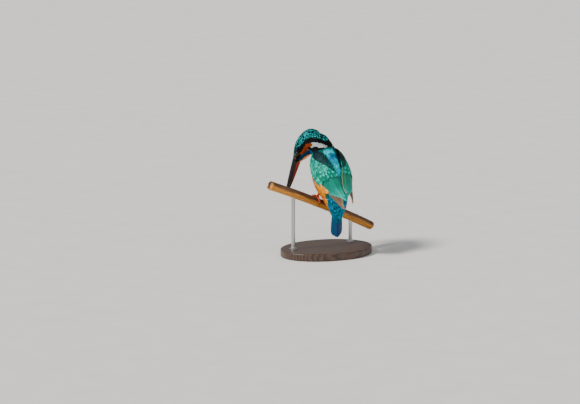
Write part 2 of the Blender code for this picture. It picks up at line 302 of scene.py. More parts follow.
def fromAxis(points, centre, axis):
    # how deep along the axis, how far from it, and the way there
    q = points - centre
    deep = q @ axis
    out = q - deep[:, None] * axis
    return deep, np.linalg.norm(out, axis=1), out


def seatEyes():
    points, normals = pointsOf(skin.data), normalsOf(skin.data)
    opening = eyeShape["opening"]
    outwards, ahead, up = eyeShape["facing"]
    for side, sign in (("left", 1), ("right", -1)):
        centre = atHead(eyeShape["ahead"], eyeShape["up"], sign * eyeShape["out"])
        axis = unit(headLeft * outwards * sign + headAhead * ahead + headUp * up)
        deep, away, _ = fromAxis(points, centre, axis)
        ring = (deep > 0) & (away > opening) & (away < opening + 0.9)
        axis = unit(normals[ring].mean(0) + axis)
        middle = points[ring].mean(0)
        centre = centre + axis * ((middle - centre) @ axis - eyeShape["rest"] + eyeShape["proud"])
        eyeSeats[side] = centre, axis
        deep, away, _ = fromAxis(points, centre, axis)
        sunk = (deep > 0) * (1 - ease(opening - 0.3, opening + 0.3, away))
        points = points - axis * (eyeShape["sink"] * sunk)[:, None]
    setPoints(skin.data, points)


seatEyes()
skinPoints = pointsOf(skin.data)
skinFaces = [tuple(p.vertices) for p in skin.data.polygons]
skinTree = BVHTree.FromPolygons(skinPoints.tolist(), skinFaces)
print("skin:", len(skinFaces), "faces")


def nearestOf(points):
    found = [skinTree.find_nearest(p)[:2] for p in points]
    return np.array([f[0] for f in found], float), np.array([f[1] for f in found], float)


def surfaceAt(run, angle):
    # the skin's point that lies at each angle round each place along the spine, and its normal
    origin, back, left = spineFrame(np.asarray(run, float))
    a = np.radians(np.asarray(angle, float))[:, None]
    ways = unit(back * np.cos(a) + left * np.sin(a))
    places, normals = [], []
    for o, w in zip(origin, ways):
        hit, normal, _, _ = skinTree.ray_cast(o, w)
        if hit is None:
            hit, normal, _, _ = skinTree.find_nearest(o)
        places.append(hit)
        normals.append(normal)
    return np.array(places, float), np.array(normals, float)


# Markings: every plumage piece and the skin take their colours from here

plumageColours = {name: srgb(*levels) for name, levels in {
    "teal": (0, 112, 102), "tealDeep": (0, 26, 32), "shoulder": (0, 56, 60), "turquoise": (50, 255, 236),
    "green": (0, 132, 88), "azure": (0, 168, 206), "azureLight": (0, 244, 242), "azureDeep": (0, 48, 116),
    # the dark blue of the back between the wing tips is painted shade
    "shadedRump": (0, 32, 58), "crown": (0, 8, 10), "crownBar": (20, 226, 230), "malar": (0, 104, 158),
    "orange": (238, 120, 2), "orangeLight": (254, 178, 14), "earOrange": (118, 34, 0),
    "cream": (255, 218, 150), "white": (184, 192, 192), "black": (3, 4, 7), "tailBlue": (0, 50, 98),
    "primary": (92, 65, 49), "primaryDark": (34, 25, 21), "primaryEdge": (206, 170, 138),
    "paleEdge": (226, 194, 168),
}.items()}


def lineDistance(points, line):
    best = np.full(len(points), 1e9)
    share = np.zeros(len(points))
    for i, (a, b) in enumerate(zip(line, line[1:])):
        t = np.clip(dots(points - a, b - a) / max(dots(b - a, b - a), 1e-9), 0, 1)
        gap = np.linalg.norm(points - a - (b - a) * t[:, None], axis=1)
        nearer = gap < best
        best = np.where(nearer, gap, best)
        share = np.where(nearer, (i + t) / (len(line) - 1), share)
    return best, share


# Each stripe, first laid first: its line as (along the spine, angle round it), its half width at the
# start, middle and end, its colour, its tips' colour and how strongly they show
stripes = {
    "malar": {"line": ((5, 114), (10.9, 109), (14, 120), (29, 136), (36, 121), (44, 108)),
              "half": (1.7, 2.8, 3.3), "tones": ("crown", "malar", 1.0)},
    "white": {"line": ((35.8, 81), (38.5, 67), (42.4, 49), (44, 34), (45, 18)),
              "half": (2.3, 2.2, 0.9), "tones": ("white", "white", 0.1), "rightTurn": 10},
    "ear": {"line": ((11.8, 93), (15, 97), (24, 103), (30, 96), (34.6, 81)),
            "half": (1.4, 2.1, 1.5), "tones": ("earOrange", "orange", 0.2)},
    "eyeLine": {"line": ((0.5, 84), (5, 78), (9, 74), (15, 70)),
                "half": (1.2, 1.3, 1.5), "tones": ("black", "black", 0.0)},
    "lore": {"line": ((3.2, 68), (5.6, 62), (7.4, 60)),
             "half": (0.6, 1.0, 0.7), "tones": ("earOrange", "orange", 0.3)},
}
for stripe in stripes.values():
    fine = smoothLine(stripe["line"], 6)
    stripe["lines"] = [surfaceAt(fine[:, 0], angle)[0]
                       for angle in (fine[:, 1], -fine[:, 1] - stripe.get("rightTurn", 0))]


def stripeShare(points, stripe):
    out = np.zeros(len(points))
    for line in stripe["lines"]:
        gap, share = lineDistance(points, line)
        half = np.interp(share, (0, 0.5, 1), stripe["half"])
        out = np.maximum(out, 1 - ease(-0.04, 0.04, gap - half))
    return out


def mix(colour, other, share):
    return colour + (np.asarray(other) - colour) * share[:, None]


# Where the crown's bars stop: the angle from the middle of the back at each place along the spine
crownEdge = ((0, 18, 25, 31, 35, 39, 41.5, 43), (62, 68, 66, 58, 43, 26, 9, -6))
# Where the back's green ends and the orange below begins
backEdge = ((44, 60, 74, 84, 92, 99, 104, 112), (101, 101, 98, 84, 76, 78, 95, 102))
# The azure down the back: its middle and its half width
azureMiddle = ((46, 49, 55, 65, 75, 100), (14, 12, 6, 4, 5, 0))
azureHalf = ((46, 49, 52, 56, 61, 66, 75, 84, 92, 105, 125),
             (26, 31, 28, 22, 19, 18, 18, 26, 60, 90, 92))


def crownShare(points):
    run, angle = spinePlace(points)
    return 1 - ease(-6, 5, np.abs(angle) - np.interp(run, *crownEdge))


def markings(points):
    # base colour, tip colour, and how strongly the tip shows, at each point of the body
    c = plumageColours
    run, angle = spinePlace(points)
    side = np.abs(angle)
    n = len(points)
    fromEdge = side - np.interp(run, *backEdge) - 14 * ease(44, 50, run) * (1 - ease(58, 66, run))
    trunkTop = 1 - ease(-0.3, 0.3, fromEdge)
    fromMiddle = np.abs(angle - np.interp(run, *azureMiddle))
    azure = 1 - ease(-4, 4, fromMiddle - np.interp(run, *azureHalf))
    layers = (
        # back and sides, then the azure down its middle
        (1 - ease(-14, -4, fromEdge), "orange", "orangeLight", 0.9),
        (trunkTop * ease(40, 46, run), "teal", "green", 0.6),
        (trunkTop * ease(44, 50, run) * (1 - ease(56, 70, run)), "tealDeep", "teal", 0.5),
        (ease(150, 172, side) * ease(92, 112, run), "orangeLight", "cream", 0.5),
        (azure * ease(46.5, 48.5, run), "azure", "azureLight", 0.9),
        # painted shadow: a band of deeper blue across the azure below the neck, where the head's shadow falls
        (azure * ease(52, 60, run) * (1 - ease(61, 69, run)) * 0.5, "azureDeep", "azure", 0.6),
        # painted shade: the back between the wing tips is a dark shaded blue under its azure tips
        (azure * ease(88, 100, run), "shadedRump", "azure", 0.75),
        # neck, head and throat, then the stripes
        ((1 - ease(45.8, 46.8, run)) * (1 - ease(114, 122, side)), "crown", "crownBar", 0.0),
        (crownShare(points), "crown", "crownBar", 0.75),
        (ease(128, 142, side) * (1 - ease(20, 44, run)), "cream", "cream", 0.2),
        *((stripeShare(points, stripe), *stripe["tones"]) for stripe in stripes.values()),
    )
    base, tip = np.tile(c["orange"], (n, 1)), np.tile(c["orangeLight"], (n, 1))
    tipShare = np.full(n, 0.45)
    for share, colour, tipColour, strength in layers:
        base, tip = mix(base, c[colour], share), mix(tip, c[tipColour], share)
        tipShare = tipShare + (strength - tipShare) * share
    return base, tip, tipShare


# Feathers: one closed vane shape, repeated over the skin and bent to it

vaneShapes = {
    # share along, half width, how far its edges trail: rows from root to tip
    "bar": ((0, 0.3, 0), (0.4, 0.8, 0), (0.68, 1, 0.01), (0.8, 0.98, 0.03), (0.88, 0.86, 0.05),
            (0.95, 0.6, 0.06), (1, 0.16, 0.04)),
    "scale": ((0, 0.35, 0), (0.28, 0.8, 0), (0.52, 1, 0), (0.7, 1, 0.01), (0.83, 0.87, 0.02),
              (0.93, 0.6, 0.03), (1, 0.18, 0.02)),
    "soft": ((0, 0.45, 0), (0.35, 0.95, 0), (0.62, 0.95, 0.02), (0.84, 0.6, 0.03), (1, 0.08, 0.02)),
    "frayed": ((0, 0.5, 0), (0.3, 0.95, 0), (0.58, 1, 0.01), (0.82, 0.82, 0.04), (1, 0.46, 0.1)),
    "flight": tuple((t, w, 0.004) for t, w in (
        (0, 0.45), (0.12, 0.62), (0.26, 0.8), (0.4, 0.93), (0.54, 1), (0.67, 1), (0.78, 0.97),
        (0.87, 0.87), (0.93, 0.7), (0.975, 0.43), (1, 0.14))),
}


def vaneTemplate(shape, columns):
    bm = bmesh.new()
    table = np.array(vaneShapes[shape], float)
    rows = len(table) - 1
    bmesh.ops.create_grid(bm, x_segments=columns, y_segments=rows, size=1.0)
    bmesh.ops.solidify(bm, geom=bm.faces[:], thickness=0.1)
    bmesh.ops.recalc_face_normals(bm, faces=bm.faces)
    co = np.array([v.co for v in bm.verts])
    faces = np.array([[v.index for v in f.verts] for f in bm.faces])
    bm.free()
    row = np.rint((co[:, 1] + 1) / 2 * rows).astype(int)
    outward = 0.4 if shape == "flight" else 1  # long feathers have their columns near the edges
    return {"row": row, "across": np.sign(co[:, 0]) * np.abs(co[:, 0]) ** outward, "faces": faces,
            "under": np.abs(co[:, 2] - co[:, 2].max()) > 0.05, "stations": table[:, 0],
            "t": table[row, 0], "half": table[row, 1], "trail": table[row, 2],
            "between": np.rint((co[:, 0] + 1) / 2 * columns).astype(int) % 2}


def vaneColours(template, tones, look):
    # feathers x vertices x 3: a darker root, the base colour, then the tip's own colour
    t, across = template["t"], template["across"]
    base, tip = tones["base"][:, None], tones["tip"][:, None]
    share = ease(look["tipFrom"], look["tipFull"], t) * (1 - look.get("spread", 0.3) * across ** 2)
    if "tipEnd" in look:
        share = share * (1 - ease(look["tipEnd"], 1.0, t))
    dark = look.get("rootShade", 0.4)
    out = base * (dark + (1 - dark) * ease(0.1, 0.5, t))[None, :, None]
    out = out + (tip - out) * (share[None] * tones["strength"][:, None])[..., None]
    if "under" in look:
        out = np.where(template["under"][None, :, None], look["under"], out)
    if "innerWeb" in look:
        web = look["innerWeb"]
        inner = ease(0.05, 0.35, across * web["side"])[None, :, None] * web["share"]
        out = out + (web["colour"] - out) * inner
    if "edge" in look:
        edge = look["edge"]
        rim = np.maximum(ease(edge["from"], 1.0, np.abs(across)), ease(0.93, 1.0, t))
        rim = rim[None, :, None] * np.atleast_1d(edge["share"])[:, None, None]
        out = out + (np.atleast_2d(edge["colour"])[:, None] - out) * rim
    return np.clip(out, 0, 1)


def layFeathers(name, template, shafts, length, half, look, tones, bakeAt):
    # shafts: path, ways, edgeways and normals, each feathers x rows x 3
    path, ways, edgeways, normals = shafts
    row, t, across, faces = (template[k] for k in ("row", "t", "across", "faces"))
    n, count = len(path), len(row)
    domed = 1 - across ** 2
    wide = (template["half"] * across)[None] * half[:, None]
    place = path[:, row] + edgeways[:, row] * wide[..., None]
    notch = look.get("fray", 0) * template["between"] * ease(0.5, 1, t)
    place -= ways[:, row] * ((template["trail"] * across ** 2 + notch) * length[:, None])[..., None]
    rise = look["sink"] + t[None] * (look["lift"] * length)[:, None]
    rise = rise + look["dome"] * half[:, None] * (domed * template["half"])[None]
    rise = rise + look.get("tilt", 0) * wide
    rise = rise - np.where(template["under"], look["thick"], 0)[None]
    rise = rise + tones["height"][:, None]
    place += normals[:, row] * rise[..., None]
    corners = (faces[None] + (np.arange(n) * count)[:, None, None]).reshape(-1)
    total = len(corners) // 4
    mesh = bpy.data.meshes.new(name)
    mesh.vertices.add(n * count)
    mesh.vertices.foreach_set("co", toWorld(place.reshape(-1, 3)).astype(np.float32).ravel())
    mesh.loops.add(len(corners))
    mesh.loops.foreach_set("vertex_index", corners.astype(np.int32))
    mesh.polygons.add(total)
    mesh.polygons.foreach_set("loop_start", (np.arange(total) * 4).astype(np.int32))
    mesh.update()
    paint(mesh, vaneColours(template, tones, look).reshape(-1, 3))
    local = np.stack([wide, t[None] * length[:, None]], -1)
    spot = np.stack([across * 0.5, t - 0.5], -1)[None] * bakePatch
    for mapName, values in (("barbs", local), ("OFBake", bakeAt[:, None] + spot)):
        layer = mesh.uv_layers.new(name=mapName)
        layer.data.foreach_set("uv", values.reshape(-1, 2)[corners].astype(np.float32).ravel())
    mesh.uv_layers.active = mesh.uv_layers["barbs"]
    mesh.shade_smooth()
    print(f"{name}: {n} feathers, {total * 2} triangles")
    return placed(name, mesh)


bakePatch = 0.003  # one feather's share of the bake map, whose edges stay clear by the margin
bakeMargin = 0.02


def inBakeMap(across, down):
    return bakeMargin + (1 - 2 * bakeMargin) * np.stack([across, down], -1)


def bakePlace(points):
    # the skin unrolled round the bird's spine
    run, angle = spinePlace(points)
    return inBakeMap(angle / 360 + 0.5, np.clip(run / 130, 0, 1))


def bakeGrid(count):
    # one square of a grid for each feather
    wide = math.ceil(math.sqrt(count))
    k = np.arange(count)
    return inBakeMap((k % wide + 0.5) / wide, (k // wide + 0.5) / wide)


def walk(roots, ways, length, stations):
    # each feather's shaft: steps over the skin from its root, turned to stay on the surface
    n, k = len(roots), len(stations)
    path, along, normals = (np.empty((n, k, 3)) for _ in range(3))
    for i in range(n):
        p, up, _, _ = skinTree.find_nearest(roots[i])
        p, up, way = np.array(p), np.array(up), ways[i]
        for j in range(k):
            if j:
                step = length[i] * (stations[j] - stations[j - 1])
                p = p + way * step
                hit, normal, _, gap = skinTree.find_nearest(p)
                if gap < 0.55 * step + 0.05:
                    p, up = np.array(hit), np.array(normal)
            way = way - up * (way @ up)
            way = way / max(np.linalg.norm(way), 1e-9)
            path[i, j], along[i, j], normals[i, j] = p, way, up
    return path, along, np.cross(normals, along), normals


def combPlumage(rounds=160):
    # the way the plumage lies at each point of the skin: back from the bill's root over the face, then
    # along the spine, evened out over the neighbours so that it has no whorl
    near = ((skinPoints[:, None, :] - spine[None]) ** 2).sum(-1).argmin(1)
    ahead, _, _ = headPlace(skinPoints)
    fromBill = unit(skinPoints - atHead(16.5, 0))
    face = (ease(-6, 6, ahead) * (np.linalg.norm(skinPoints - headCentre, axis=1) < 26))[:, None]
    run, angle = spinePlace(skinPoints)
    breast = (ease(92, 118, np.abs(angle)) * ease(40, 48, run) * (1 - ease(78, 92, run)))[:, None]
    way = unit(spineTail[near] * (1 - face) + fromBill * face)
    way = unit(way * (1 - breast) + np.array((0, -0.3, -1)) * breast)
    normals = normalsOf(skin.data)
    edges = np.empty(len(skin.data.edges) * 2, np.int32)
    skin.data.edges.foreach_get("vertices", edges)
    both = np.concatenate([edges.reshape(-1, 2), edges.reshape(-1, 2)[:, ::-1]])
    both = both[np.argsort(both[:, 0], kind="stable")]
    starts = np.searchsorted(both[:, 0], np.arange(len(skinPoints)))
    for _ in range(rounds):
        way = way + np.add.reduceat(way[both[:, 1]], starts, axis=0)
        way = unit(way - normals * dots(way, normals)[:, None])
    return way


combed = combPlumage()
skinVertices = treeOf(skinPoints)


def plumageLie(points):
    # the combed way at each point, parting in front of the eyes
    way = combed[[skinVertices.find(p)[1] for p in points]]
    for seat in eyeSeats.values():
        deep, away, out = fromAxis(points, *seat)
        near = (deep > -1) * (1 - ease(0.4, 3.0, away - eyeShape["opening"]))
        out = unit(out)
        way = way - out * (1.15 * near * np.minimum(dots(way, out), 0))[:, None]
    return unit(way)


def eyeGap(points):
    # how far each point is outside the nearer eye's lids, measured across the eye's axis
    gap = np.full(len(points), 99.0)
    for seat in eyeSeats.values():
        deep, away, _ = fromAxis(points, *seat)
        gap = np.where(deep > -1.0, np.minimum(gap, away), gap)
    return gap - eyeShape["opening"] - eyeShape["lid"]


# Contour feather sizes down the spine, their length and half width; sizesAt makes the back's a quarter wider
# and those near the eyes smaller
featherSizes = {
    "run": (0, 4, 9, 16, 26, 38, 48, 60, 80, 105, 125),
    "length": (1.3, 1.7, 2.2, 2.9, 3.8, 5.0, 6.6, 8.0, 8.6, 9.0, 8.6),
    "half": (0.24, 0.3, 0.38, 0.46, 0.55, 0.64, 0.72, 0.78, 0.82, 0.84, 0.84),
}


def sizesAt(points):
    run, angle = spinePlace(points)
    small = 0.6 + 0.4 * ease(0.2, 4.5, eyeGap(points))
    length, half = (np.interp(run, featherSizes["run"], featherSizes[k]) * small for k in ("length", "half"))
    top = (1 - ease(85, 110, np.abs(angle))) * ease(46, 52, run)
    return length, half * (1 + 0.25 * top), run, angle


def scatter(spacing, candidates, seed):
    # roots over the skin, no two closer than the spacing where they are
    rng = np.random.default_rng(seed)
    skin.data.calc_loop_triangles()
    flat = np.empty(len(skin.data.loop_triangles) * 3, np.int32)
    skin.data.loop_triangles.foreach_get("vertices", flat)
    a, b, c = (skinPoints[k] for k in flat.reshape(-1, 3).T)
    area = np.linalg.norm(np.cross(b - a, c - a), axis=1)
    weight = area / spacing((a + b + c) / 3) ** 2
    pick = rng.choice(len(area), candidates, p=weight / weight.sum())
    u, v = rng.random(candidates), rng.random(candidates)
    over = u + v > 1
    u, v = (np.where(over, 1 - w, w)[:, None] for w in (u, v))
    places = a[pick] + (b - a)[pick] * u + (c - a)[pick] * v
    room, tree = spacing(places), treeOf(places)
    alive = np.ones(candidates, bool)
    chosen = []
    for i in range(candidates):
        if alive[i]:
            chosen.append(i)
            for _, j, _ in tree.find_range(places[i], room[i]):
                alive[j] = False
    return places[chosen]


def bodyTones(spots, seed, look):
    rng = np.random.default_rng(seed)
    base, tip, strength = markings(spots)
    n = len(base)
    vary = 1 + rng.normal(0, 0.14, (n, 1)) + rng.normal(0, 0.05, (n, 3))
    if look.get("unbarred"):
        strength = strength * (1 - crownShare(spots))
    strength = np.clip(strength * (1 + rng.uniform(-1, 1, n) * look.get("uneven", 0.35)), 0, 1)
    return {"base": base * vary, "tip": tip * vary, "strength": strength,
            "height": rng.normal(0, 0.03, n) + loft(spots)}


def loft(points):
    # the mantle stands up between the wings
    run, angle = spinePlace(points)
    return 1.3 * ease(52, 62, run) * (1 - ease(76, 88, run)) * (1 - ease(10, 22, np.abs(angle - 4)))


# Finishes: the names that they give the shader's sockets, and the nodes they share
socketNames = {"colour": "Base Color", "rough": "Roughness", "normal": "Normal", "metal": "Metallic",
               "sheen": "Sheen Weight", "sheenRough": "Sheen Roughness", "gloss": "Specular IOR Level",
               "coat": "Coat Weight", "coatRough": "Coat Roughness", "bleed": "Subsurface Weight",
               "bleedScale": "Subsurface Scale"}


def plug(tree, socket, value):
    if isinstance(value, bpy.types.NodeSocket):
        tree.links.new(value, socket)
    else:
        socket.default_value = value


def newFinish(name):
    made = bpy.data.materials.new(name)
    made.use_nodes = True
    return made, made.node_tree


def settle(made, **values):
    # joins nodes to the shader's sockets, and sets the plain numbers on them
    shader = made.node_tree.nodes["Principled BSDF"]
    for key, value in values.items():
        plug(made.node_tree, shader.inputs[socketNames[key]], value)
    return made


def addNode(tree, kind, values=None, **settings):
    made = tree.nodes.new("ShaderNode" + kind)
    for key, value in settings.items():
        setattr(made, key, value)
    for key, value in (values or {}).items():
        plug(tree, made.inputs[key], value)
    return made


def calc(tree, operation, *values):
    return addNode(tree, "Math", dict(enumerate(values)), operation=operation).outputs[0]


def remap(tree, value, low, high, start=0.0, stop=1.0):
    values = {"Value": value, "From Min": start, "From Max": stop, "To Min": low, "To Max": high}
    return addNode(tree, "MapRange", values).outputs[0]


def blend(tree, factor, a, b, kind="MIX"):
    made = addNode(tree, "Mix", data_type="RGBA", blend_type=kind)
    sockets = {x.name: x for x in made.inputs if x.enabled}
    plug(tree, sockets["Factor"], factor)
    for key, value in (("A", a), ("B", b)):
        plug(tree, sockets[key], (*value, 1) if isinstance(value, tuple) else value)
    return next(x for x in made.outputs if x.enabled)


def shaded(tree, colour, value, low, high, start=0.0, stop=1.0):
    return blend(tree, 1.0, colour, remap(tree, value, low, high, start, stop), "MULTIPLY")


def attribute(tree, name, output="Color"):
    return addNode(tree, "Attribute", attribute_name=name).outputs[output]


def objectPlace(tree):
    return addNode(tree, "TexCoord").outputs["Object"]


def stretched(tree, place, scale, **more):
    return addNode(tree, "Mapping", {"Vector": place, "Scale": scale, **more}).outputs[0]


def noiseAt(tree, place, scale, detail=2.0, rough=0.5):
    values = {"Vector": place, "Scale": scale, "Detail": detail, "Roughness": rough}
    return addNode(tree, "TexNoise", values).outputs[0]


def noise(tree, scale, detail=2.0, rough=0.5):
    return noiseAt(tree, objectPlace(tree), scale, detail, rough)


def cells(tree, scale, **settings):
    made = addNode(tree, "TexVoronoi", {"Vector": objectPlace(tree), "Scale": scale}, **settings)
    return made.outputs["Distance"]


def ramp(tree, value, *stops):
    made = addNode(tree, "ValToRGB", {0: value})
    points = made.color_ramp.elements
    while len(points) < len(stops):
        points.new(0.5)
    for point, (at, colour) in zip(points, stops):
        point.position = at
        point.color = (*colour, 1)
    return made.outputs[0]


def bumpOf(tree, height, strength, distance):
    values = {"Height": height, "Strength": strength, "Distance": distance}
    return addNode(tree, "Bump", values).outputs[0]


plumageLook = {"slant": 1.6, "barb": 0.22, "shaft": 0.035, "shaftShare": 0.3,
               "shaftColour": (0.01, 0.01, 0.01), "dark": 0.8, "light": 1.14, "bump": 0.4, "rough": 0.52,
               "sheen": 0.0, "gloss": 0.13}


def plumageFinish(name, **changes):
    # barbs run out from the shaft and towards the tip; the colour comes from the piece's own tint
    look = dict(plumageLook, **changes)
    made, tree = newFinish(name)
    local = addNode(tree, "UVMap", uv_map="barbs").outputs[0]
    split = addNode(tree, "SeparateXYZ", {0: local})
    out = calc(tree, "ABSOLUTE", split.outputs[0])
    slant = calc(tree, "SUBTRACT", split.outputs[1], calc(tree, "MULTIPLY", out, look["slant"]))
    waver = noise(tree, 900.0)
    drift = calc(tree, "MULTIPLY", waver, 6.0)
    phase = calc(tree, "MULTIPLY_ADD", slant, 2 * math.pi / look["barb"], drift)
    level = calc(tree, "MULTIPLY_ADD", calc(tree, "SINE", phase), 0.5, 0.5)
    patchy = remap(tree, noise(tree, 160.0, 3.0), 0.86, 1.14, 0.3, 0.7)
    shade = calc(tree, "MULTIPLY", remap(tree, level, look["dark"], look["light"]), patchy)
    colour = blend(tree, 1.0, attribute(tree, "tint"), shade, "MULTIPLY")
    shaft = calc(tree, "MULTIPLY", calc(tree, "LESS_THAN", out, look["shaft"]), look["shaftShare"])
    return settle(made, colour=blend(tree, shaft, colour, look["shaftColour"]),
                  rough=remap(tree, waver, look["rough"] - 0.08, look["rough"] + 0.08),
                  normal=bumpOf(tree, level, look["bump"], 0.00006),
                  sheen=look["sheen"], sheenRough=0.4, gloss=look["gloss"])


bodyFinish = plumageFinish("contourPlumage")
headFinish = plumageFinish("headPlumage", barb=0.17, rough=0.48, shaftShare=0.1, gloss=0.08)
flightFinish = plumageFinish("flightFeather", barb=0.34, slant=1.9, shaft=0.13, shaftShare=0.8, dark=0.78,
                             light=1.12, rough=0.42, gloss=0.24)


def makeGroundFinish():
    made, tree = newFinish("plumageGround")
    fluff = noise(tree, 1400.0, 4.0, 0.7)
    return settle(made, colour=shaded(tree, attribute(tree, "tint"), fluff, 0.35, 0.85),
                  normal=bumpOf(tree, fluff, 0.6, 0.0001), rough=0.8, gloss=0.08)


groundFinish = makeGroundFinish()
# painted shade: the skin shows only between the feathers, and is painted at half the plumage's colour as the
# shade down among them
paint(skin.data, markings(skinPoints)[0] * 0.5)
dress(skin, groundFinish, "plumage_green_blue", "head", "neck", "trunk")


# Contour feathers: bars in rows over the crown, soft feathers everywhere else

crownShape = {"step": 1.5, "apart": 1.6, "side": 82, "start": 1.2, "stop": 45, "length": 4.4, "half": 1.0,
              "jitter": 0.13}


def crownRoots():
    runs = np.linspace(crownShape["start"], crownShape["stop"], 240)
    along = walked(surfaceAt(runs, np.zeros(len(runs)))[0])
    rows = np.interp(np.arange(0, along[-1], crownShape["step"]), along, runs)
    angles = np.linspace(-crownShape["side"], crownShape["side"], 60)
    out = []
    for k, run in enumerate(rows):
        line, _ = surfaceAt(np.full(len(angles), run), angles)
        reach = walked(line)
        small = np.interp(run, (0, 8, 16), (0.5, 0.75, 1.0))
        count = reach[-1] / (crownShape["apart"] * small)
        out.append(column(line, np.arange(0.5 * (k % 2), count) * crownShape["apart"] * small, reach))
    out = np.concatenate(out)
    return out + np.random.default_rng(20).normal(0, crownShape["jitter"], out.shape)


def featherPiece(name, roots, length, half, seed, finish, look, slotName="plumage_green_blue"):
    rng = np.random.default_rng(seed)
    ways, (_, normal), n = plumageLie(roots), nearestOf(roots), len(roots)
    swing = rng.normal(0, look.get("swing", 0.1), n)[:, None]
    ways = unit(ways - normal * dots(ways, normal)[:, None])
    ways = unit(ways + np.cross(normal, ways) * swing)
    length = length * (1 + rng.normal(0, 0.07, n))
    template = vaneTemplate(look["shape"], look["columns"])
    shafts = walk(roots, ways, length, template["stations"])
    tones = bodyTones(shafts[0][:, look.get("spotRow", 3)], seed + 1, look)
    made = layFeathers(name, template, shafts, length, half, look, tones, bakePlace(shafts[0][:, 0]))
    return dress(made, finish, slotName)


softLook = {"sink": -0.12, "lift": 0.12, "dome": 0.1, "thick": 0.09, "tipFrom": 0.6, "tipFull": 0.95,
            "spread": 0.2, "rootShade": 0.35, "shape": "soft", "columns": 2, "unbarred": True}
bodyLook = dict(softLook, lift=0.1, fray=0.1, swing=0.13, shape="frayed", columns=4, unbarred=False)
backLook = dict(bodyLook, uneven=0.9)
crownLook = {"sink": -0.1, "lift": 0.12, "dome": 0.12, "thick": 0.09, "tipFrom": 0.76, "tipFull": 0.85,
             "tipEnd": 1.0, "spread": 0.7, "rootShade": 0.6, "swing": 0.12, "spotRow": 4, "uneven": 1.5,
             "shape": "bar", "columns": 2}
plumage = {"candidates": 110000, "spacing": 0.95, "vent": (109.5, 115.5), "headEnd": 47, "flanks": 96}


def makePlumage():
    crown = crownRoots()
    crown = crown[(crownShare(crown) > 0.2) & (eyeGap(crown) > 0.2)]
    run, _ = spinePlace(crown)
    small = np.interp(run, (0, 6, 14, 46), (0.42, 0.6, 1.0, 1.15))
    small = small * (0.8 + 0.2 * ease(0.2, 3.0, eyeGap(crown)))
    featherPiece("crownPlumage", crown, crownShape["length"] * small, crownShape["half"] * small, 21,
                 headFinish, crownLook)
    roots = scatter(lambda p: plumage["spacing"] * sizesAt(p)[1], plumage["candidates"], 5)
    length, half, run, angle = sizesAt(roots)
    side = np.abs(angle)
    keep = (eyeGap(roots) > 0.03) & ((crownShare(roots) < 0.6) | (run < 15)) & ~underWing(roots)
    (ventStart, ventEnd), headEnd = plumage["vent"], plumage["headEnd"]
    keep &= (run < ventEnd) & ~((run > ventStart) & (side > 94))
    face, top = side < 125, side < plumage["flanks"]
    zones = (
        ("lorePlumage", (run < 14) & face, headFinish, softLook, "green_blue"),
        ("cheekPlumage", (run >= 14) & (run < 26) & face, headFinish, softLook, "green_blue"),
        ("throatPlumage", (run < 44) & ~face, headFinish, softLook, "orange"),
        ("neckPlumage", (run >= 26) & (run < headEnd) & face, headFinish, softLook, "green_blue"),
        ("backPlumage", (run >= headEnd) & top, bodyFinish, backLook, "green_blue"),
        ("breastPlumage", (run >= 44) & (run < 74) & ~top, bodyFinish, bodyLook, "orange"),
        ("bellyPlumage", (run >= 74) & ~top, bodyFinish, bodyLook, "orange"),
    )
    for k, (name, zone, finish, look, slotName) in enumerate(zones):
        pick = keep & zone
        featherPiece(name, roots[pick], length[pick], half[pick], 30 + 2 * k, finish, look,
                     f"plumage_{slotName}")


# Folded wings: a thin core sheet, then feathers from the tip forwards, each row over the last

wingRows = np.array((
    # along, y, z, lean, sideways, backward, upper edge left, right, lower edge
    (0.00, -2.5, 55.5, 58, 14.5, 13.0, 66, 60, 100),
    (0.08, -5.5, 51.0, 58, 17.8, 15.6, 50, 36, 112),
    (0.22, -10.5, 43.5, 56, 20.3, 18.0, 31, 15, 118),
    (0.40, -17.0, 34.5, 53, 21.6, 18.2, 17, 6, 109),
    (0.58, -24.5, 26.0, 48, 20.0, 14.6, 8, 2.5, 97),
    (0.74, -31.5, 18.0, 45, 16.5, 10.8, 2.5, 2, 88),
    (0.88, -39.5, 11.0, 44, 12.0, 7.6, 3, 3, 80),
    (1.00, -46.5, 5.0, 44, 8.0, 4.8, 20, 20, 62),
))
wingDroop = {"left": 5.5, "right": -0.5}


def rowCurve(along, which):
    keys, values = wingRows[:, 0], wingRows[:, which]
    slopes = np.empty(len(keys))
    slopes[1:-1] = (values[2:] - values[:-2]) / (keys[2:] - keys[:-2])
    slopes[0] = (values[1] - values[0]) / (keys[1] - keys[0])
    slopes[-1] = (values[-1] - values[-2]) / (keys[-1] - keys[-2])
    at = np.clip(along, 0, 1)
    i = np.clip(np.searchsorted(keys, at, "right") - 1, 0, len(keys) - 2)
    span = keys[i + 1] - keys[i]
    t = (at - keys[i]) / span
    value = (2 * t ** 3 - 3 * t ** 2 + 1) * values[i] + (t ** 3 - 2 * t ** 2 + t) * slopes[i] * span
    value = value + (3 * t ** 2 - 2 * t ** 3) * values[i + 1] + (t ** 3 - t ** 2) * slopes[i + 1] * span
    return value + (along - at) * np.where(along > at, slopes[-1], slopes[0])


def wingPoint(side, along, across):
    y, z, lean, wide, deep = (rowCurve(along, k) for k in range(1, 6))
    top, low = rowCurve(along, 6 if side == "left" else 7), rowCurve(along, 8)
    angle = np.radians(top + (low - top) * across)
    tilt = np.radians(lean)
    rise = deep * np.cos(angle)
    droop = wingDroop[side] * along ** 2
    return np.stack([sides[side] * wide * np.sin(angle), y - np.sin(tilt) * rise,
                     z - droop + np.cos(tilt) * rise], -1)


def wingNormal(side, along, across):
    step = 0.004
    tipward = wingPoint(side, along + step, across) - wingPoint(side, along - step, across)
    lower = wingPoint(side, along, across + step) - wingPoint(side, along, across - step)
    return unit(np.cross(tipward, lower)) * sides[side]


wingCore = {"sink": 1.35, "thick": 0.5, "reach": 0.72, "inner": 0.12, "outer": 0.9}


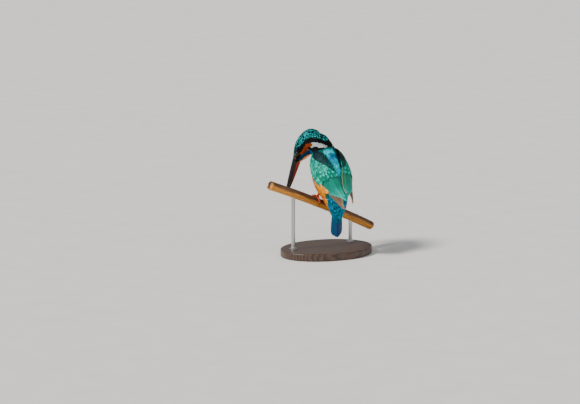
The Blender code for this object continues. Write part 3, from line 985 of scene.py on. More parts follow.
def wingSheet(side):
    bm = bmesh.new()
    bmesh.ops.create_grid(bm, x_segments=16, y_segments=36, size=1.0)
    at = (np.array([v.co for v in bm.verts]) + 1) / 2
    along = at[:, 1] * wingCore["reach"]
    across = wingCore["inner"] + at[:, 0] * (wingCore["outer"] - wingCore["inner"])
    place = wingPoint(side, along, across) - wingNormal(side, along, across) * wingCore["sink"]
    for v, co in zip(bm.verts, toWorld(place)):
        v.co = co
    bm.normal_update()
    if sum(f.normal.x for f in bm.faces) * sides[side] < 0:
        bmesh.ops.reverse_faces(bm, faces=bm.faces)
    return thickened(addPiece(f"wingCore_{side}", bm), wingCore["thick"])


hiddenPart = {"along": (0.13, 0.76, 30), "across": (0.16, 0.8, 16), "near": 3.0}


def underWing(points):
    # true for roots that a wing hides
    hidden = np.zeros(len(points), bool)
    a, c = np.meshgrid(*(np.linspace(*hiddenPart[k]) for k in ("along", "across")), indexing="ij")
    for side in sides:
        tree = treeOf(wingPoint(side, a, c).reshape(-1, 3))
        hidden |= np.array([tree.find(p)[2] < hiddenPart["near"] for p in points])
    return hidden


def shaftsFrom(path, normals, flatten=False):
    way = unit(np.gradient(path, axis=1))
    if flatten:
        way = unit(way - dots(way, normals)[..., None] * normals)
    return path, way, np.cross(normals, way), normals


def wingShafts(side, root, tip, stations, bow=0.0):
    # shafts over the wing from root to tip, both as (along, across)
    t = stations[None]
    along = root[:, :1] + (tip[:, :1] - root[:, :1]) * t
    across = root[:, 1:] + (tip[:, 1:] - root[:, 1:]) * t + bow * np.sin(np.pi * t)
    return shaftsFrom(wingPoint(side, along, across), wingNormal(side, along, across), flatten=True)


def shaftLength(path):
    return np.linalg.norm(np.diff(path, axis=1), axis=2).sum(1)


# Each kind's base colour, a second one mixed into it at random, its tip and the range of the tip's strength
wingKinds = {
    "primary": ("primary", "primaryDark", "primaryEdge", (0.0, 0.2)),
    "secondary": ("teal", "green", "turquoise", (0.1, 0.45)),
    "tertial": ("teal", "green", "turquoise", (0.1, 0.4)),
    "covert": ("teal", "green", "turquoise", (0.0, 1.1)),
    "greater": ("teal", "green", "turquoise", (0.0, 0.7)),
    "scapular": ("tealDeep", "shoulder", "shoulder", (0.3, 1.0)),
    "lowScapular": ("shoulder", "tealDeep", "teal", (0.2, 1.0)),
    "flank": ("orange", "orangeLight", "orangeLight", (0.2, 0.9)),
    "flankEdge": ("orange", "orangeLight", "cream", (0.0, 0.7)),
}


def wingTones(kind, n, rng, heights, side):
    base, mate, tip = (plumageColours[name] for name in wingKinds[kind][:3])
    vary = 1 + rng.normal(0, 0.12, (n, 1)) + rng.normal(0, 0.05, (n, 3))
    share = np.clip(rng.normal(0.3 if side == "left" else 0.6, 0.25, n), 0, 1)
    return {"base": mix(np.tile(base, (n, 1)), mate, share) * vary, "tip": tip * vary,
            "strength": rng.uniform(*wingKinds[kind][3], n), "height": heights}


# Long feathers, lowest layer first: how many, root and tip of the first and last as (along, across),
# half widths, heights over the core; the edge's colour, where it starts and how strong it is
flightRows = {
    "primaries": {
        "count": 7, "root": ((0.5, 0.81), (0.46, 0.48)), "tip": ((1.0, 0.59), (0.88, 0.26)),
        "half": (2.2, 2.2), "height": (-0.12, 0.02), "kind": "primary", "edge": ("primaryEdge", 0.88, 0.9),
        "web": 0.6},
    "secondaries": {
        "count": 11, "root": ((0.32, 0.82), (0.3, 0.2)), "tip": ((0.77, 0.74), (0.91, 0.03)),
        "half": (2.6, 2.9), "height": (0.12, 0.36), "kind": "secondary", "edge": ("turquoise", 0.84, 0.5),
        "web": 0.5},
    "tertials": {
        "count": 6, "root": ((0.3, 0.36), (0.36, 0.06)), "tip": ((0.84, 0.2), (0.86, -0.04)),
        "half": (2.3, 2.0), "height": (0.66, 0.8), "kind": "tertial", "edge": ("turquoise", 0.84, 0.45),
        "web": 0.2, "last": "paleEdge"},
}
flightLook = {"sink": 0.15 - wingCore["sink"], "lift": 0.0, "dome": 0.05, "thick": 0.12, "tipFrom": 0.7,
              "tipFull": 0.98}
# Coverts, scapulars and flank feathers: each row's root and tip along the wing, the stretch across it,
# the spacing, half width, height over the core, and how much further back the row lies at its lower end
scapularStretch = ((0.05, 0.1), (0.04, 0.14), (0.03, 0.18), (0.02, 0.23), (0.0, 0.28), (-0.02, 0.34),
                   (-0.05, 0.42), (-0.07, 0.5), (-0.07, 0.55))
wingCoverts = (
    ("greater", 0.31, 0.56, (0.06, 0.92), 2.1, 1.55, 0.72, 0.03),
    ("covert", 0.28, 0.475, (0.05, 0.93), 1.8, 1.25, 0.82, 0.03),
    *(("covert", at, at + 0.06 + 0.06 * ease(0.0, 0.16, at), (0.03, 0.94), 1.35, 0.92, 0.9, 0.03)
      for at in np.arange(0.285, -0.075, -0.025)),
)
scapulars = tuple(
    ("lowScapular" if at > 0.13 else "scapular", at, at + 0.1 + 0.07 * ease(0.0, 0.2, at), stretch,
     1.5, 1.1, 1.18, 0.0)
    for at, stretch in zip(np.arange(0.27, -0.07, -0.038), scapularStretch)
)


def flankRow(kind, at):
    # lower, shorter and flatter towards the front
    edge, back = 0.98 - 0.5 * max(at - 0.3, 0), ease(0.3, 0.5, at)
    stretch, height = {"flank": ((edge + 0.06, 1.06 + 0.24 * back), 0.95),
                       "flankEdge": ((edge, edge + 0.1), 1.2)}[kind]
    tip = at + 0.07 + 0.06 * ease(0.28, 0.45, at)
    return kind, at, tip, stretch, 1.4, 1.0, height * (0.2 + 0.8 * back), 0.0


flanks = [flankRow(kind, at) for at in np.arange(0.6, 0.3, -0.035) for kind in ("flank", "flankEdge")]
covertLook = {"sink": 0.02 - wingCore["sink"], "lift": 0.06, "dome": 0.1, "thick": 0.12, "tipFrom": 0.72,
              "tipFull": 0.84, "tipEnd": 0.98, "spread": 1.0, "rootShade": 0.5, "shape": "scale",
              "columns": 4, "rise": 0.02}
flankLook = {"sink": 0.02 - wingCore["sink"], "lift": 0.05, "dome": 0.12, "thick": 0.12, "tipFrom": 0.4,
             "tipFull": 0.95, "spread": 0.3, "rootShade": 0.5, "shape": "frayed", "columns": 4,
             "rise": -0.05, "fray": 0.1}


def makeWing(side, seed):
    rng = np.random.default_rng(seed)
    core = wingSheet(side)
    # painted shade: the core sheet, seen only between the wing's feathers, is painted darker than they are
    paint(core.data, np.tile(plumageColours["tealDeep"] * 0.7, (len(core.data.vertices), 1)))
    dress(core, groundFinish, "plumage_green_blue", f"wing_{side}")
    for name, row in flightRows.items():
        makeFlight(name, side, row, rng)
    makeCoverts(f"wingCoverts_{side}", side, wingCoverts, rng, covertLook, "plumage_green_blue")
    makeCoverts(f"scapulars_{side}", side, scapulars, rng, covertLook, "plumage_green_blue")
    shown = [row for row in flanks if side == "left" or row[1] < 0.47]
    makeCoverts(f"flankPlumage_{side}", side, shown, rng, flankLook, "plumage_orange")


def makeFlight(name, side, row, rng):
    n, inward, template = row["count"], -sides[side], vaneTemplate("flight", 6)
    share = np.linspace(0, 1, n)[:, None]
    root, tip, half, height = (np.array(row[k][0]) * (1 - share) + np.array(row[k][1]) * share
                               for k in ("root", "tip", "half", "height"))
    root, tip = root + rng.normal(0, 0.004, (n, 2)), tip + rng.normal(0, 0.005, (n, 2))
    shafts = wingShafts(side, root, tip, template["stations"], bow=0.03)
    colour, start, strength = row["edge"]
    edges, shares = np.tile(plumageColours[colour], (n, 1)), np.full(n, strength)
    if side == "right" and "last" in row:
        edges[-1], shares[-1] = plumageColours[row["last"]], 1.0
    web = {"side": inward, "share": row["web"], "colour": plumageColours["primaryDark"]}
    look = dict(flightLook, edge={"from": start, "share": shares, "colour": edges}, tilt=-0.08 * inward,
                innerWeb=web)
    tones = wingTones(row["kind"], n, rng, height[:, 0], side)
    made = layFeathers(f"{name}_{side}", template, shafts, shaftLength(shafts[0]), half[:, 0], look, tones,
                       bakeGrid(n))
    dress(made, flightFinish, "plumage_green_blue")


def makeCoverts(name, side, rows, rng, look, slotName):
    template = vaneTemplate(look["shape"], look["columns"])
    shafts, halves, tones = [], [], []
    for k, (kind, start, stop, (low, high), apart, half, height, slope) in enumerate(rows):
        ends = [wingPoint(side, np.array([(start + stop) / 2]), np.array([end])) for end in (high, low)]
        arc = np.linalg.norm(ends[0] - ends[1])
        n = max(3, int(round(arc * 1.2 / apart)))
        c = low + (high - low) * (np.arange(n) + 0.5 * (k % 2)) / (n - 0.5)
        root = np.stack([start + rng.normal(0, 0.008, n) + slope * c, c], -1)
        tipAcross = c + look["rise"] - 0.06 * c + rng.normal(0, 0.014, n)
        tip = np.stack([stop + rng.normal(0, 0.013, n) + slope * c, tipAcross], -1)
        shafts.append(wingShafts(side, root, tip, template["stations"]))
        halves.append(half * (1 + rng.normal(0, 0.08, n)))
        tones.append(wingTones(kind, n, rng, height + rng.normal(0, 0.04, n), side))
    shafts = tuple(np.concatenate(part) for part in zip(*shafts))
    tones = {k: np.concatenate([t[k] for t in tones]) for k in tones[0]}
    made = layFeathers(name, template, shafts, shaftLength(shafts[0]), np.concatenate(halves), look, tones,
                       bakeGrid(len(shafts[0])))
    dress(made, bodyFinish, slotName)


# Tail: twelve short feathers under the coverts, the middle pair on top

tailShape = {"root": (0, -28.3, -1.0), "tip": (0, -27.3, -31.0), "pairs": 6, "apart": (0.75, 1.02),
             "half": 2.55, "arch": 0.022, "layer": 0.2, "shorter": 0.55}
tailRoot = np.array(tailShape["root"])
tailRun = np.array(tailShape["tip"]) - tailRoot
tailLength = np.linalg.norm(tailRun)
tailAlong = tailRun / tailLength
tailSide = np.array((1, 0, 0))
tailBack = unit(np.cross(tailAlong, (1, 0, 0)))
tailBack = tailBack if tailBack[1] < 0 else -tailBack
tailLook = {"sink": 0.0, "lift": 0.0, "dome": 0.06, "thick": 0.16, "tipFrom": 0.6, "tipFull": 1.0,
            "rootShade": 0.8, "edge": {"from": 0.8, "share": 0.3, "colour": plumageColours["azure"]},
            "under": plumageColours["primaryDark"]}


def archedLine(reach, x):
    # a line down the tail at its reach and its place across, over the arch
    line = tailRoot + tailAlong * reach[:, None] + tailSide * x[:, None]
    return line - tailBack * (tailShape["arch"] * x ** 2)[:, None]


def layTail(name, template, path, normals, lengths, half, look, tones, finish, slotName, *nodes):
    n = len(path)
    shafts = shaftsFrom(np.array(path), np.array(normals))
    made = layFeathers(name, template, shafts, np.array(lengths), np.full(n, half), look, tones, bakeGrid(n))
    dress(made, finish, slotName, *nodes)


def makeTail():
    template = vaneTemplate("flight", 6)
    t = template["stations"]
    path, normals, heights, lengths = [], [], [], []
    rng = np.random.default_rng(70)
    inner, outer = tailShape["apart"]
    for pair in range(tailShape["pairs"]):
        for sign in (-1, 1):
            reach = 1 - tailShape["shorter"] * pair / tailLength + rng.normal(0, 0.008)
            x = sign * (0.4 + (inner + (outer - inner) * t) * pair)
            x = x + rng.normal(0, 0.12) * (0.4 + t)
            path.append(archedLine(tailLength * reach * t, x))
            normals.append(unit(tailBack + tailSide * (2 * tailShape["arch"] * x)[:, None]))
            heights.append(0.5 - tailShape["layer"] * pair + 0.05 * sign)
            lengths.append(tailLength * reach)
    n = len(path)
    vary = 1 + rng.normal(0, 0.14, (n, 1))
    tones = {"base": plumageColours["tailBlue"] * vary, "tip": plumageColours["azureDeep"] * vary,
             "strength": np.full(n, 0.7), "height": np.array(heights)}
    layTail("tailFeathers", template, path, normals, lengths, tailShape["half"], tailLook, tones,
            flightFinish, "tail_blue", "tail")


tailCoverts = {"starts": (7.0, 4.2, 1.6, -1.0, -3.4, -5.6), "length": (7.5, 10.5), "half": 1.15,
               "apart": 1.25, "reach": (3.4, 8.4), "gather": 0.82}
# Over and under the tail: which way, colours, how clear of it, how much each row leans out, and the slot
tailCovertSides = {
    # the upper coverts' base is the same painted shade of dark blue
    "upperTailCoverts": (1, "shadedRump", "azure", 0.85, 0.42, "plumage_green_blue"),
    "underTailCoverts": (-1, "orange", "orangeLight", 1.9, 0.55, "plumage_orange"),
}


def makeTailCoverts(name, way, base, tip, clear, lean, slotName):
    # short feathers over the tail's root, the rearmost row lowest
    rng = np.random.default_rng(75 + way)
    template = vaneTemplate("frayed", 4)
    t = template["stations"]
    path, normals, lengths = [], [], []
    starts, (narrow, broad) = tailCoverts["starts"], tailCoverts["reach"]
    for k, start in enumerate(starts):
        reach = narrow + (broad - narrow) * (k / (len(starts) - 1))
        count = int(round(2 * reach / tailCoverts["apart"]))
        for x in np.linspace(-reach, reach, count) + rng.normal(0, 0.15, count):
            length = rng.uniform(*tailCoverts["length"]) * (1 - 0.25 * abs(x) / reach)
            outward = unit(tailBack * way + tailSide * (2 * tailShape["arch"] * x))
            up = clear + 0.12 * k + lean * k * (1 - t)
            line = archedLine(start + length * t, x * (1 - (1 - tailCoverts["gather"]) * t))
            path.append(line + outward * up[:, None])
            normals.append(np.tile(outward, (len(t), 1)))
            lengths.append(length)
    n = len(path)
    vary = 1 + rng.normal(0, 0.15, (n, 1))
    tones = {"base": plumageColours[base] * vary, "tip": plumageColours[tip] * vary,
             "strength": rng.uniform(0.3, 1, n), "height": rng.normal(0, 0.05, n)}
    layTail(name, template, path, normals, lengths, tailCoverts["half"],
            dict(bodyLook, sink=0.0, lift=0.02, thick=0.12), tones, bodyFinish, slotName)


for side, seed in (("left", 40), ("right", 60)):
    makeWing(side, seed)
makeTail()
for name, settings in tailCovertSides.items():
    makeTailCoverts(name, *settings)
makePlumage()
print("plumage laid")


# Eyes: a wet brown ball with a pupil, inside a ring of bare lid


def eyeFinish():
    made, tree = newFinish("wetEye")
    return settle(made, colour=shaded(tree, attribute(tree, "tint"), noise(tree, 2600.0, 3.0), 0.7, 1.3),
                  rough=0.06, coat=0.25, coatRough=0.02, gloss=0.35)


def lidFinish():
    made, tree = newFinish("lidSkin")
    beads = cells(tree, 3200.0)
    return settle(made, colour=ramp(tree, beads, (0.0, (0.022, 0.02, 0.022)), (1.0, (0.008, 0.008, 0.01))),
                  normal=bumpOf(tree, beads, 0.6, 0.00005), rough=0.5, gloss=0.25)


def turned(axis, centre):
    # a frame whose Z is the axis, at the centre, from mm to world metres
    z = Vector(axis)
    x = Vector(headUp - axis * (headUp @ axis)).normalized()
    y = z.cross(x)
    place = Vector(toWorld(centre))
    frameOf = Matrix((x, y, z)).transposed().to_4x4()
    return Matrix.Translation(place) @ frameOf @ Matrix.Scale(mm, 4)


eyeBall = {"pupil": 27, "iris": 47, "bulge": 0.16, "brown": srgb(40, 20, 10), "black": srgb(3, 2, 2)}


def makeEye(side, ballFinish, rimFinish):
    centre, axis = eyeSeats[side]
    bm = bmesh.new()
    bmesh.ops.create_uvsphere(bm, u_segments=48, v_segments=32, radius=eyeShape["radius"] - 0.06)
    local = np.array([v.co for v in bm.verts])
    tip = np.degrees(np.arccos(np.clip(local[:, 2] / np.linalg.norm(local, axis=1), -1, 1)))
    swell = 1 + eyeBall["bulge"] / eyeShape["radius"] * (1 - ease(8, 34, tip))
    for v, s in zip(bm.verts, swell):
        v.co *= s
    bmesh.ops.transform(bm, matrix=turned(axis, centre), verts=bm.verts)
    ball = addPiece(f"eye_{side}_ball", bm)
    pupil, iris, black = (eyeBall[k] for k in ("pupil", "iris", "black"))
    ring = ease(pupil - 1.5, pupil + 1.5, tip) * (1 - ease(iris - 5, iris + 5, tip))
    paint(ball.data, black + (eyeBall["brown"] - black) * ring[:, None])
    dress(ball, ballFinish, "eye", f"eye_{side}")
    # the lid: a rounded rim on the ball, spun round the eye, its skirt tucked under the feathers
    opening, wide, rest = (eyeShape[k] for k in ("opening", "lid", "rest"))
    profile = ((0.1, -0.5), (0, 0.02), (0.04, 0.14), (0.4 * wide, 0.2), (0.8 * wide, 0.12),
               (1.15 * wide, -0.1), (1.5 * wide, -0.5), (1.6 * wide, -1.1))
    bm = bmesh.new()
    spun(bm, [(opening + out, rest + up) for out, up in profile], 56)
    bmesh.ops.remove_doubles(bm, verts=bm.verts, dist=1e-4)
    bmesh.ops.recalc_face_normals(bm, faces=bm.faces)
    bmesh.ops.transform(bm, matrix=turned(axis, centre), verts=bm.verts)
    dress(thickened(addPiece(f"eyelid_{side}", bm), 0.1), rimFinish, "leg_skin")


def ringAt(centre, side, up, wide, high, segments=24, shape=None):
    a = np.arange(segments) / segments * 2 * np.pi
    x, y = np.cos(a), np.sin(a)
    if shape is not None:
        x, y = shape(x, y)
    return np.asarray(centre) + np.outer(x * wide, side) + np.outer(y * high, up)


# Bill: two long mandibles, the upper ridged along its top, the lower dark red with a dark tip

billShape = {"root": 15.3, "long": 36.2, "wide": 8.0, "deep": 8.8, "lowerShare": 0.36, "gap": 0.08,
             "segments": 28, "rings": 46}
billTaper = np.array((  # share along, width, depth
    (-0.07, 1.0, 1.0), (0.0, 0.98, 0.99), (0.12, 0.87, 0.93), (0.3, 0.71, 0.83), (0.55, 0.53, 0.68),
    (0.78, 0.35, 0.47), (0.92, 0.19, 0.25), (1.0, 0.04, 0.05)))


def billFinish(name, *stops):
    made, tree = newFinish(name)
    streak = noise(tree, 300.0, 4.0, 0.6)
    share = addNode(tree, "SeparateColor", {0: attribute(tree, "tint")}).outputs[0]
    along = calc(tree, "ADD", share, remap(tree, streak, -0.09, 0.09))
    return settle(made, colour=shaded(tree, ramp(tree, along, *stops), noise(tree, 1500.0, 3.0), 0.75, 1.25),
                  rough=remap(tree, streak, 0.3, 0.5),
                  normal=bumpOf(tree, noise(tree, 2400.0, 3.0), 0.25, 0.00004), coat=0.06, coatRough=0.25,
                  gloss=0.2)


def bump(x, middle, width):
    return np.exp(-((x - middle) / width) ** 2)


def makeMandible(name, sign, finish, node, slotName):
    upper, lowerShare = sign > 0, billShape["lowerShare"]
    shares = np.linspace(billTaper[0, 0], 1.0, billShape["rings"])
    rings = []
    for share in shares:
        wide, whole = (np.interp(share, billTaper[:, 0], billTaper[:, k]) for k in (1, 2))
        wide, whole = wide * billShape["wide"] / 2, whole * billShape["deep"]
        deep = whole * (1 - lowerShare if upper else lowerShare)
        centre = atHead(billShape["root"] + share * billShape["long"],
                        whole * (lowerShare - 0.5) + sign * billShape["gap"])

        def half(x, y, share=share):
            # half a ring, flat where the two meet, with a groove and a nostril along the upper one
            high = np.where(y > 0, np.abs(y) ** (0.9 if upper else 1.05), -0.02 * np.abs(y))
            around, slope = (np.degrees(np.arctan2(v, np.abs(x))) for v in (np.abs(y), y))
            groove = 0.1 * bump(around, 24, 9) * (y > 0) * (1 - ease(0.1, 0.42, share))
            nostril = 0.16 * bump(share, 0.09, 0.035) * bump(slope, 28, 8)
            pinch = 1 - groove * upper - nostril * upper
            return x * pinch, high * pinch

        rings.append(ringAt(centre, headLeft, headUp * sign, wide, deep, billShape["segments"], half))
    bm = bmesh.new()
    loftInto(bm, rings)
    bmesh.ops.recalc_face_normals(bm, faces=bm.faces)
    made = addPiece(name, bm)
    made.data.set_sharp_from_angle(angle=math.radians(50))
    share = np.repeat(shares, billShape["segments"])
    paint(made.data, np.tile(np.clip(share, 0, 1)[:, None], (1, 3)))
    dress(made, finish, slotName, node)


# Legs: scaled red skin over toes that wrap the stem, and dark claws

stemShape = {"radius": 4.9, "flatten": 0.95, "slope": math.radians(23.3), "bend": 0.00047,
             "ends": (-66.0, 64.0), "ribs": 9}
legShape = {"spread": 7.8, "shin": 1.35, "toe": 1.12, "claw": 3.4, "start": -14, "ankle": (8.2, -7.0, 13.5),
            "scute": 0.8, "clawBend": 0.28, "voxel": 0.15, "smoothing": 2}
toes = ((-2.3, 92), (0.0, 125), (2.2, 112), (-0.6, -78))  # out from the foot's middle, sweep round the stem


def stemAxis(x):
    x = np.asarray(x, float)
    return np.stack([x, 0 * x, -x * math.tan(stemShape["slope"]) - stemShape["bend"] * x * x], -1)


def tubeRings(points, radii, segments=14):
    ways = unit(np.gradient(points, axis=0))
    side = unit(np.array((1.0, 0, 0)) - ways * ways[:, :1])
    up = np.cross(side, ways)
    return [ringAt(p, s, u, r, r, segments) for p, s, u, r in zip(points, side, up, radii)]


def scuted(radius, walked):
    step = (walked / legShape["scute"]) % 1
    return radius * (1 + 0.055 * (1 - step ** 3) - 0.03)


def toePath(footX, offset, sweep, steps=56):
    share = np.linspace(0, 1, steps)
    angle = np.radians(legShape["start"] + sweep * share)
    clear = legShape["toe"] * 0.92
    reach = stemShape["radius"] + clear
    rise = (stemShape["flatten"] * stemShape["radius"] + clear) / math.cos(stemShape["slope"])
    around = np.stack([0 * share, np.sin(angle) * reach, np.cos(angle) * rise], -1)
    return share, stemAxis(footX + offset + 0 * share) + around


def makeLeg(side, skinOfLeg, clawFinish):
    sign = sides[side]
    footX = sign * legShape["spread"]
    bm, claws = bmesh.new(), bmesh.new()
    low = stemAxis(footX) + np.array((0, -1.2, 5.6))
    high = np.array((sign * legShape["ankle"][0], *legShape["ankle"][1:]))
    share = np.linspace(0, 1, 30)
    shin = low + (high - low) * share[:, None]
    thick = legShape["shin"] * (1.3 - 0.32 * ease(0, 0.3, share) + 0.35 * ease(0.7, 1, share))
    loftInto(bm, tubeRings(shin, scuted(thick, share * np.linalg.norm(high - low))))
    for offset, sweep in toes:
        share, path = toePath(footX, sign * offset, sweep)
        joints = 0.05 * np.cos(share * 19)
        loftInto(bm, tubeRings(path, scuted(legShape["toe"] * (1.1 - 0.3 * share + joints), walked(path))))
        ahead = unit(path[-1] - path[-2])
        turnedBy = math.radians(legShape["start"] + sweep)
        bend = np.array((0, -math.sin(turnedBy), 0)) * legShape["clawBend"]
        at = np.linspace(-0.25, 1, 14)
        out = np.maximum(at, 0)
        line = path[-1] + np.outer(at, ahead) * legShape["claw"] + np.outer(out ** 2, bend) * legShape["claw"]
        loftInto(claws, tubeRings(line, legShape["toe"] * (0.58 - 0.52 * out ** 0.9), 12))
    leg = melted(addPiece(f"leg_{side}_skin", bm), legShape["voxel"], legShape["smoothing"])
    leg.data.shade_smooth()
    dress(leg, skinOfLeg, "leg_skin", f"leg_{side}")
    bmesh.ops.recalc_face_normals(claws, faces=claws.faces)
    dress(addPiece(f"claws_{side}", claws), clawFinish, "bill_horn")


def legFinish():
    made, tree = newFinish("scaledRedSkin")
    edge = remap(tree, cells(tree, 2600.0, feature="DISTANCE_TO_EDGE"), 0.0, 1.0, 0.0, 0.16)
    colour = ramp(tree, noise(tree, 420.0, 3.0), (0.3, (0.34, 0.028, 0.008)), (0.7, (0.62, 0.075, 0.02)))
    return settle(made, colour=shaded(tree, colour, edge, 0.55, 1.1), rough=remap(tree, edge, 0.6, 0.42),
                  normal=bumpOf(tree, edge, 0.5, 0.00006), bleed=0.08, bleedScale=0.001)


# Reed stem: dry, with rounded ribs, fibres that drift round it, splits, one worn joint and ragged cut ends

reedShape = {"rings": 230, "segments": 150, "joint": 44.0, "rib": 0.05, "fibre": 0.005, "wobble": 0.018,
             "ragged": 0.9, "fibres": (17, 23, 31, 37, 43, 52), "splits": 11, "rim": 1.0, "hollow": 0.9,
             "grainStep": 0.02}


def reedRadius(x, angle, fibres, splits):
    turn = 0.004 * x + 0.05 * math.sin(x * 0.11)
    ribs = np.abs(np.sin(0.5 * stemShape["ribs"] * (angle + turn))) ** 0.6
    bumpy = 1 - reedShape["rib"] * (1 - ribs)
    bumpy = bumpy + reedShape["wobble"] * np.sin(0.16 * x + 2 * angle) * math.sin(0.051 * x + 1)
    for count, start, drift, strength in fibres:
        bumpy = bumpy + reedShape["fibre"] * strength * np.sin(count * angle + start + drift * x)
    for middle, reach, at, deep in splits:
        off = (angle - at - 0.004 * (x - middle) + np.pi) % (2 * np.pi) - np.pi
        bumpy = bumpy - deep * np.exp(-(off / 0.055) ** 2) * max(0, 1 - ((x - middle) / reach) ** 2)
    fromJoint = x - reedShape["joint"]
    worn = 0.06 * math.exp(-(fromJoint / 0.8) ** 2) - 0.04 * math.exp(-((fromJoint - 2.1) / 0.6) ** 2)
    return stemShape["radius"] * (bumpy + worn)


def makeStem():
    segments, (first, last) = reedShape["segments"], stemShape["ends"]
    xs = np.linspace(first, last, reedShape["rings"])
    angle = np.arange(segments) / segments * 2 * np.pi
    rng = np.random.default_rng(80)
    full = 2 * np.pi
    fibres = [(m, rng.uniform(0, full), rng.uniform(0.02, 0.09), rng.uniform(0.6, 1.4))
              for m in reedShape["fibres"]]
    splits = [(rng.uniform(-55, 55), rng.uniform(10, 24), rng.uniform(0, full), rng.uniform(0.04, 0.09))
              for _ in range(reedShape["splits"])]
    ragged = np.tile(rng.normal(0, 1, segments), 3)
    ragged = np.convolve(ragged, np.ones(4) / 4, "same")[segments: 2 * segments] * reedShape["ragged"]
    rings, grain = [], []
    axis = stemAxis(xs)
    for x, p, way in zip(xs, axis, unit(np.gradient(axis, axis=0))):
        up = unit(np.cross(way, (0, 1, 0)))
        up = up if up[2] > 0 else -up
        r = reedRadius(x, angle, fibres, splits)
        fray = ragged * (math.exp(-((x - first) / 0.7) ** 2) + math.exp(-((x - last) / 0.7) ** 2))
        ring = p + np.outer(np.cos(angle) * r, (0, 1, 0))
        ring = ring + np.outer(np.sin(angle) * r * stemShape["flatten"], up)
        rings.append(ring + np.outer(fray, way))
        run = np.full(segments, x * reedShape["grainStep"])
        grain.append(np.stack([np.cos(angle), np.sin(angle), run], -1))
    bm = bmesh.new()
    loftInto(bm, rings)
    for face in cutEnds(bm, segments):
        bmesh.ops.inset_region(bm, faces=[face], thickness=reedShape["rim"] * mm, depth=0)
        face.normal_update()
    bmesh.ops.recalc_face_normals(bm, faces=bm.faces)
    for face in cutEnds(bm, segments):
        inward = face.normal * -reedShape["hollow"] * mm
        pushed = bmesh.ops.extrude_discrete_faces(bm, faces=[face])["faces"]
        bmesh.ops.translate(bm, vec=inward, verts=list({v for f in pushed for v in f.verts}))
    made = addPiece("reedStem", bm)
    made.data.set_sharp_from_angle(angle=math.radians(45))
    # the fibres run along the stem, and end on at its cut faces
    flat = np.concatenate(grain)
    lengthwise = pointsOf(made.data) * np.array((reedShape["grainStep"], 0.2, 0.2))
    lengthwise[:, 2] = 9.0
    lengthwise[: len(flat)] = flat
    paint(made.data, lengthwise, "grain")
    return made


def cutEnds(bm, segments):
    return [f for f in bm.faces if len(f.verts) == segments]


def reedFinish():
    made, tree = newFinish("dryReed")
    grain = attribute(tree, "grain", "Vector")

    def fibre(scale, stretch, detail=4.0):
        return noiseAt(tree, stretched(tree, grain, (scale, scale, scale * stretch)), 1.0, detail, 0.6)

    streak, broad, fine = fibre(9.0, 0.3), fibre(2.2, 1.6), fibre(34.0, 0.35)
    # painted shade and light: the stem's top is painted dark brown as if shaded, and its underside golden
    # orange as if lit, with a noisy border between
    height = addNode(tree, "SeparateXYZ", {0: grain}).outputs[1]
    under, above = (
        ramp(tree, streak, *zip((0.3, 0.5, 0.72), tones))
        for tones in (((0.42, 0.13, 0.014), (0.74, 0.31, 0.05), (0.86, 0.48, 0.13)),
                      ((0.05, 0.024, 0.014), (0.13, 0.066, 0.038), (0.27, 0.16, 0.1))))
    paintedTopShade = calc(tree, "ADD", height, remap(tree, broad, -0.75, 0.75))
    colour = blend(tree, remap(tree, paintedTopShade, 0.0, 1.0, -0.25, 0.3), under, above)
    colour = shaded(tree, colour, fine, 0.55, 1.35, 0.3, 0.7)
    spots = ramp(tree, fibre(30.0, 3.0, 2.0), (0.6, (1, 1, 1)), (0.7, (0.3, 0.25, 0.22)))
    rib = calc(tree, "ADD", fine, calc(tree, "MULTIPLY", streak, 0.6))
    return settle(made, colour=blend(tree, 0.8, colour, spots, "MULTIPLY"),
                  rough=remap(tree, streak, 0.85, 0.6), normal=bumpOf(tree, rib, 0.8, 0.00025), gloss=0.2)


# Stand: the dark wooden base and steel rods keep their CAD shape, with a turned collar at each foot


def woodFinish():
    made, tree = newFinish("darkWood")
    bent = stretched(tree, objectPlace(tree), (6.0, 60.0, 60.0), Location=(0.3, 1.7, 0.4))
    values = {"Vector": bent, "Scale": 1.6, "Distortion": 7.0, "Detail": 3.0, "Detail Scale": 1.4}
    rings = addNode(tree, "TexWave", values, wave_type="BANDS", bands_direction="Y").outputs["Fac"]
    pores = noiseAt(tree, stretched(tree, objectPlace(tree), (120.0, 2600.0, 2600.0)), 1.0, 3.0, 0.6)
    colour = ramp(tree, rings, (0.0, (0.028, 0.013, 0.008)), (0.5, (0.06, 0.028, 0.014)),
                  (1.0, (0.1, 0.05, 0.026)))
    height = calc(tree, "ADD", pores, calc(tree, "MULTIPLY", rings, 0.25))
    return settle(made, colour=shaded(tree, colour, pores, 0.5, 1.15, 0.35, 0.6),
                  rough=remap(tree, rings, 0.42, 0.55), normal=bumpOf(tree, height, 0.3, 0.0001),
                  coat=0.25, coatRough=0.3)


def steelFinish():
    made, tree = newFinish("brushedSteel")
    brush = noiseAt(tree, stretched(tree, objectPlace(tree), (5200.0, 5200.0, 60.0)), 1.0, 3.0, 0.6)
    colour = ramp(tree, brush, (0.3, (0.42, 0.42, 0.43)), (0.7, (0.6, 0.6, 0.61)))
    return settle(made, colour=colour, rough=remap(tree, brush, 0.24, 0.42),
                  normal=bumpOf(tree, brush, 0.12, 0.00003), metal=1.0)


standShape = {"rods": {"stand_rod_left": -37.0, "stand_rod_right": 37.0}, "baseTop": 8.0,
              "collar": ((2.05, 0.0), (4.2, 0.0), (4.3, 0.25), (4.2, 0.8), (3.4, 1.15), (2.9, 1.5),
                         (2.8, 2.3), (2.05, 2.4))}


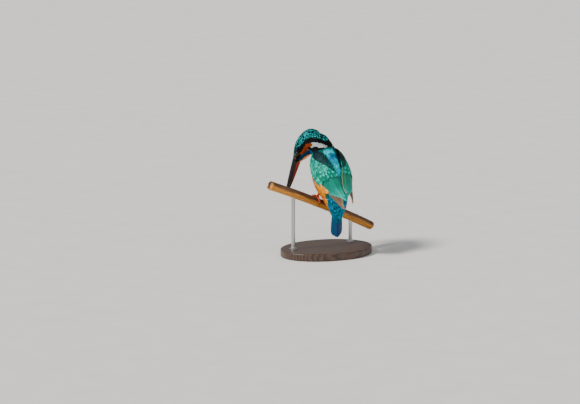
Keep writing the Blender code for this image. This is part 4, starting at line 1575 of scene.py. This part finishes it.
def makeCollars(finish):
    bm = bmesh.new()
    for x in standShape["rods"].values():
        before = set(bm.verts)
        spun(bm, standShape["collar"], 40, closed=True)
        fresh = [v for v in bm.verts if v not in before]
        bmesh.ops.translate(bm, vec=(x, perchPoint[1], standShape["baseTop"]), verts=fresh)
    bmesh.ops.scale(bm, vec=(mm, mm, mm), verts=bm.verts)
    bmesh.ops.remove_doubles(bm, verts=bm.verts, dist=1e-7)
    bmesh.ops.recalc_face_normals(bm, faces=bm.faces)
    made = addPiece("rodCollars", bm)
    made.data.set_sharp_from_angle(angle=math.radians(35))
    dress(made, finish, "rod_steel")


def makeStand():
    wood, steel = woodFinish(), steelFinish()
    for name, finish in (("stand_base", wood), *((n, steel) for n in standShape["rods"])):
        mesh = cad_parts[name].data
        mesh.materials.clear()
        mesh.materials.append(finish)
    makeCollars(steel)


wetBall, lidRim, redSkin = eyeFinish(), lidFinish(), legFinish()
for side in sides:
    makeEye(side, wetBall, lidRim)
blackHorn = billFinish("blackHorn", (0.0, (0.009, 0.008, 0.009)), (1.0, (0.004, 0.004, 0.005)))
redHorn = billFinish("redHorn", (0.0, (0.3, 0.034, 0.01)), (0.4, (0.16, 0.014, 0.008)),
                     (0.64, (0.05, 0.01, 0.008)), (0.85, (0.01, 0.008, 0.008)))
makeMandible("upperMandible", 1, blackHorn, "bill_upper", "bill_horn")
makeMandible("lowerMandible", -1, redHorn, "bill_lower", "bill_red_horn")
for side in sides:
    makeLeg(side, redSkin, blackHorn)
dress(makeStem(), reedFinish(), "reed", "perch_reed")
makeStand()
print("eyes, bill, legs, stem and stand made")


# Floor, light and camera

view = {"azimuth": -35, "elevation": 10, "distance": 3.0, "perMm": 0.95, "perchAt": (322, 204.2),
        "size": (580, 404), "sensor": 36, "clip": (0.05, 100)}
lights = {  # turned right and up from the view, the sun's width in degrees, strength and colour
    "key": {"from": (-62, 44), "wide": 12, "power": 4.2, "colour": (1.0, 0.97, 0.92)},
    "fill": {"from": (35, 28), "wide": 70, "power": 0.7, "colour": (0.95, 0.98, 1.0)},
}
sky = {"colour": (0.93, 0.96, 1.0, 1), "strength": 0.36}


def towards(azimuth, elevation):
    a, e = math.radians(azimuth), math.radians(elevation)
    return np.array((math.sin(a) * math.cos(e), -math.cos(a) * math.cos(e), math.sin(e)))


def paleFloorFinish():
    made, tree = newFinish("paleFloor")
    colour = ramp(tree, noise(tree, 30.0, 6.0), (0.3, (0.76, 0.75, 0.73)), (0.7, (0.8, 0.79, 0.77)))
    return settle(made, colour=colour, rough=0.85)


def makeFloor():
    bm = bmesh.new()
    bmesh.ops.create_grid(bm, x_segments=8, y_segments=8, size=30.0)
    floor = addPiece("floor", bm)
    floor.data.materials.append(paleFloorFinish())


def makeCamera():
    back, a = towards(view["azimuth"], view["elevation"]), math.radians(view["azimuth"])
    right = np.array((math.cos(a), math.sin(a), 0))
    up = np.cross(back, right)
    wide, high = view["size"]
    across = (wide / 2 - view["perchAt"][0]) / view["perMm"] * mm
    above = (view["perchAt"][1] - high / 2) / view["perMm"] * mm
    place = perchPoint * mm + back * view["distance"] + right * across + up * above
    data = bpy.data.cameras.new("camera")
    data.sensor_width = view["sensor"]
    data.lens = data.sensor_width * view["distance"] / (wide / view["perMm"] * mm)
    data.clip_start, data.clip_end = view["clip"]
    camera = placed("camera", data)
    camera.matrix_world = Matrix([*np.stack([right, up, back, place], 1).tolist(), (0, 0, 0, 1)])
    bpy.context.scene.camera = camera


def makeLights():
    world = bpy.data.worlds.new("studio")
    bpy.context.scene.world = world
    world.use_nodes = True
    background = world.node_tree.nodes["Background"]
    background.inputs[0].default_value = sky["colour"]
    background.inputs[1].default_value = sky["strength"]
    for name, lamp in lights.items():
        way = Vector(towards(view["azimuth"] + lamp["from"][0], lamp["from"][1]))
        data = bpy.data.lights.new(name, "SUN")
        data.energy, data.angle, data.color = lamp["power"], math.radians(lamp["wide"]), lamp["colour"]
        light = placed(name, data)
        light.location = way * 2
        light.rotation_euler = way.to_track_quat("Z", "Y").to_euler()


makeFloor()
makeCamera()
makeLights()
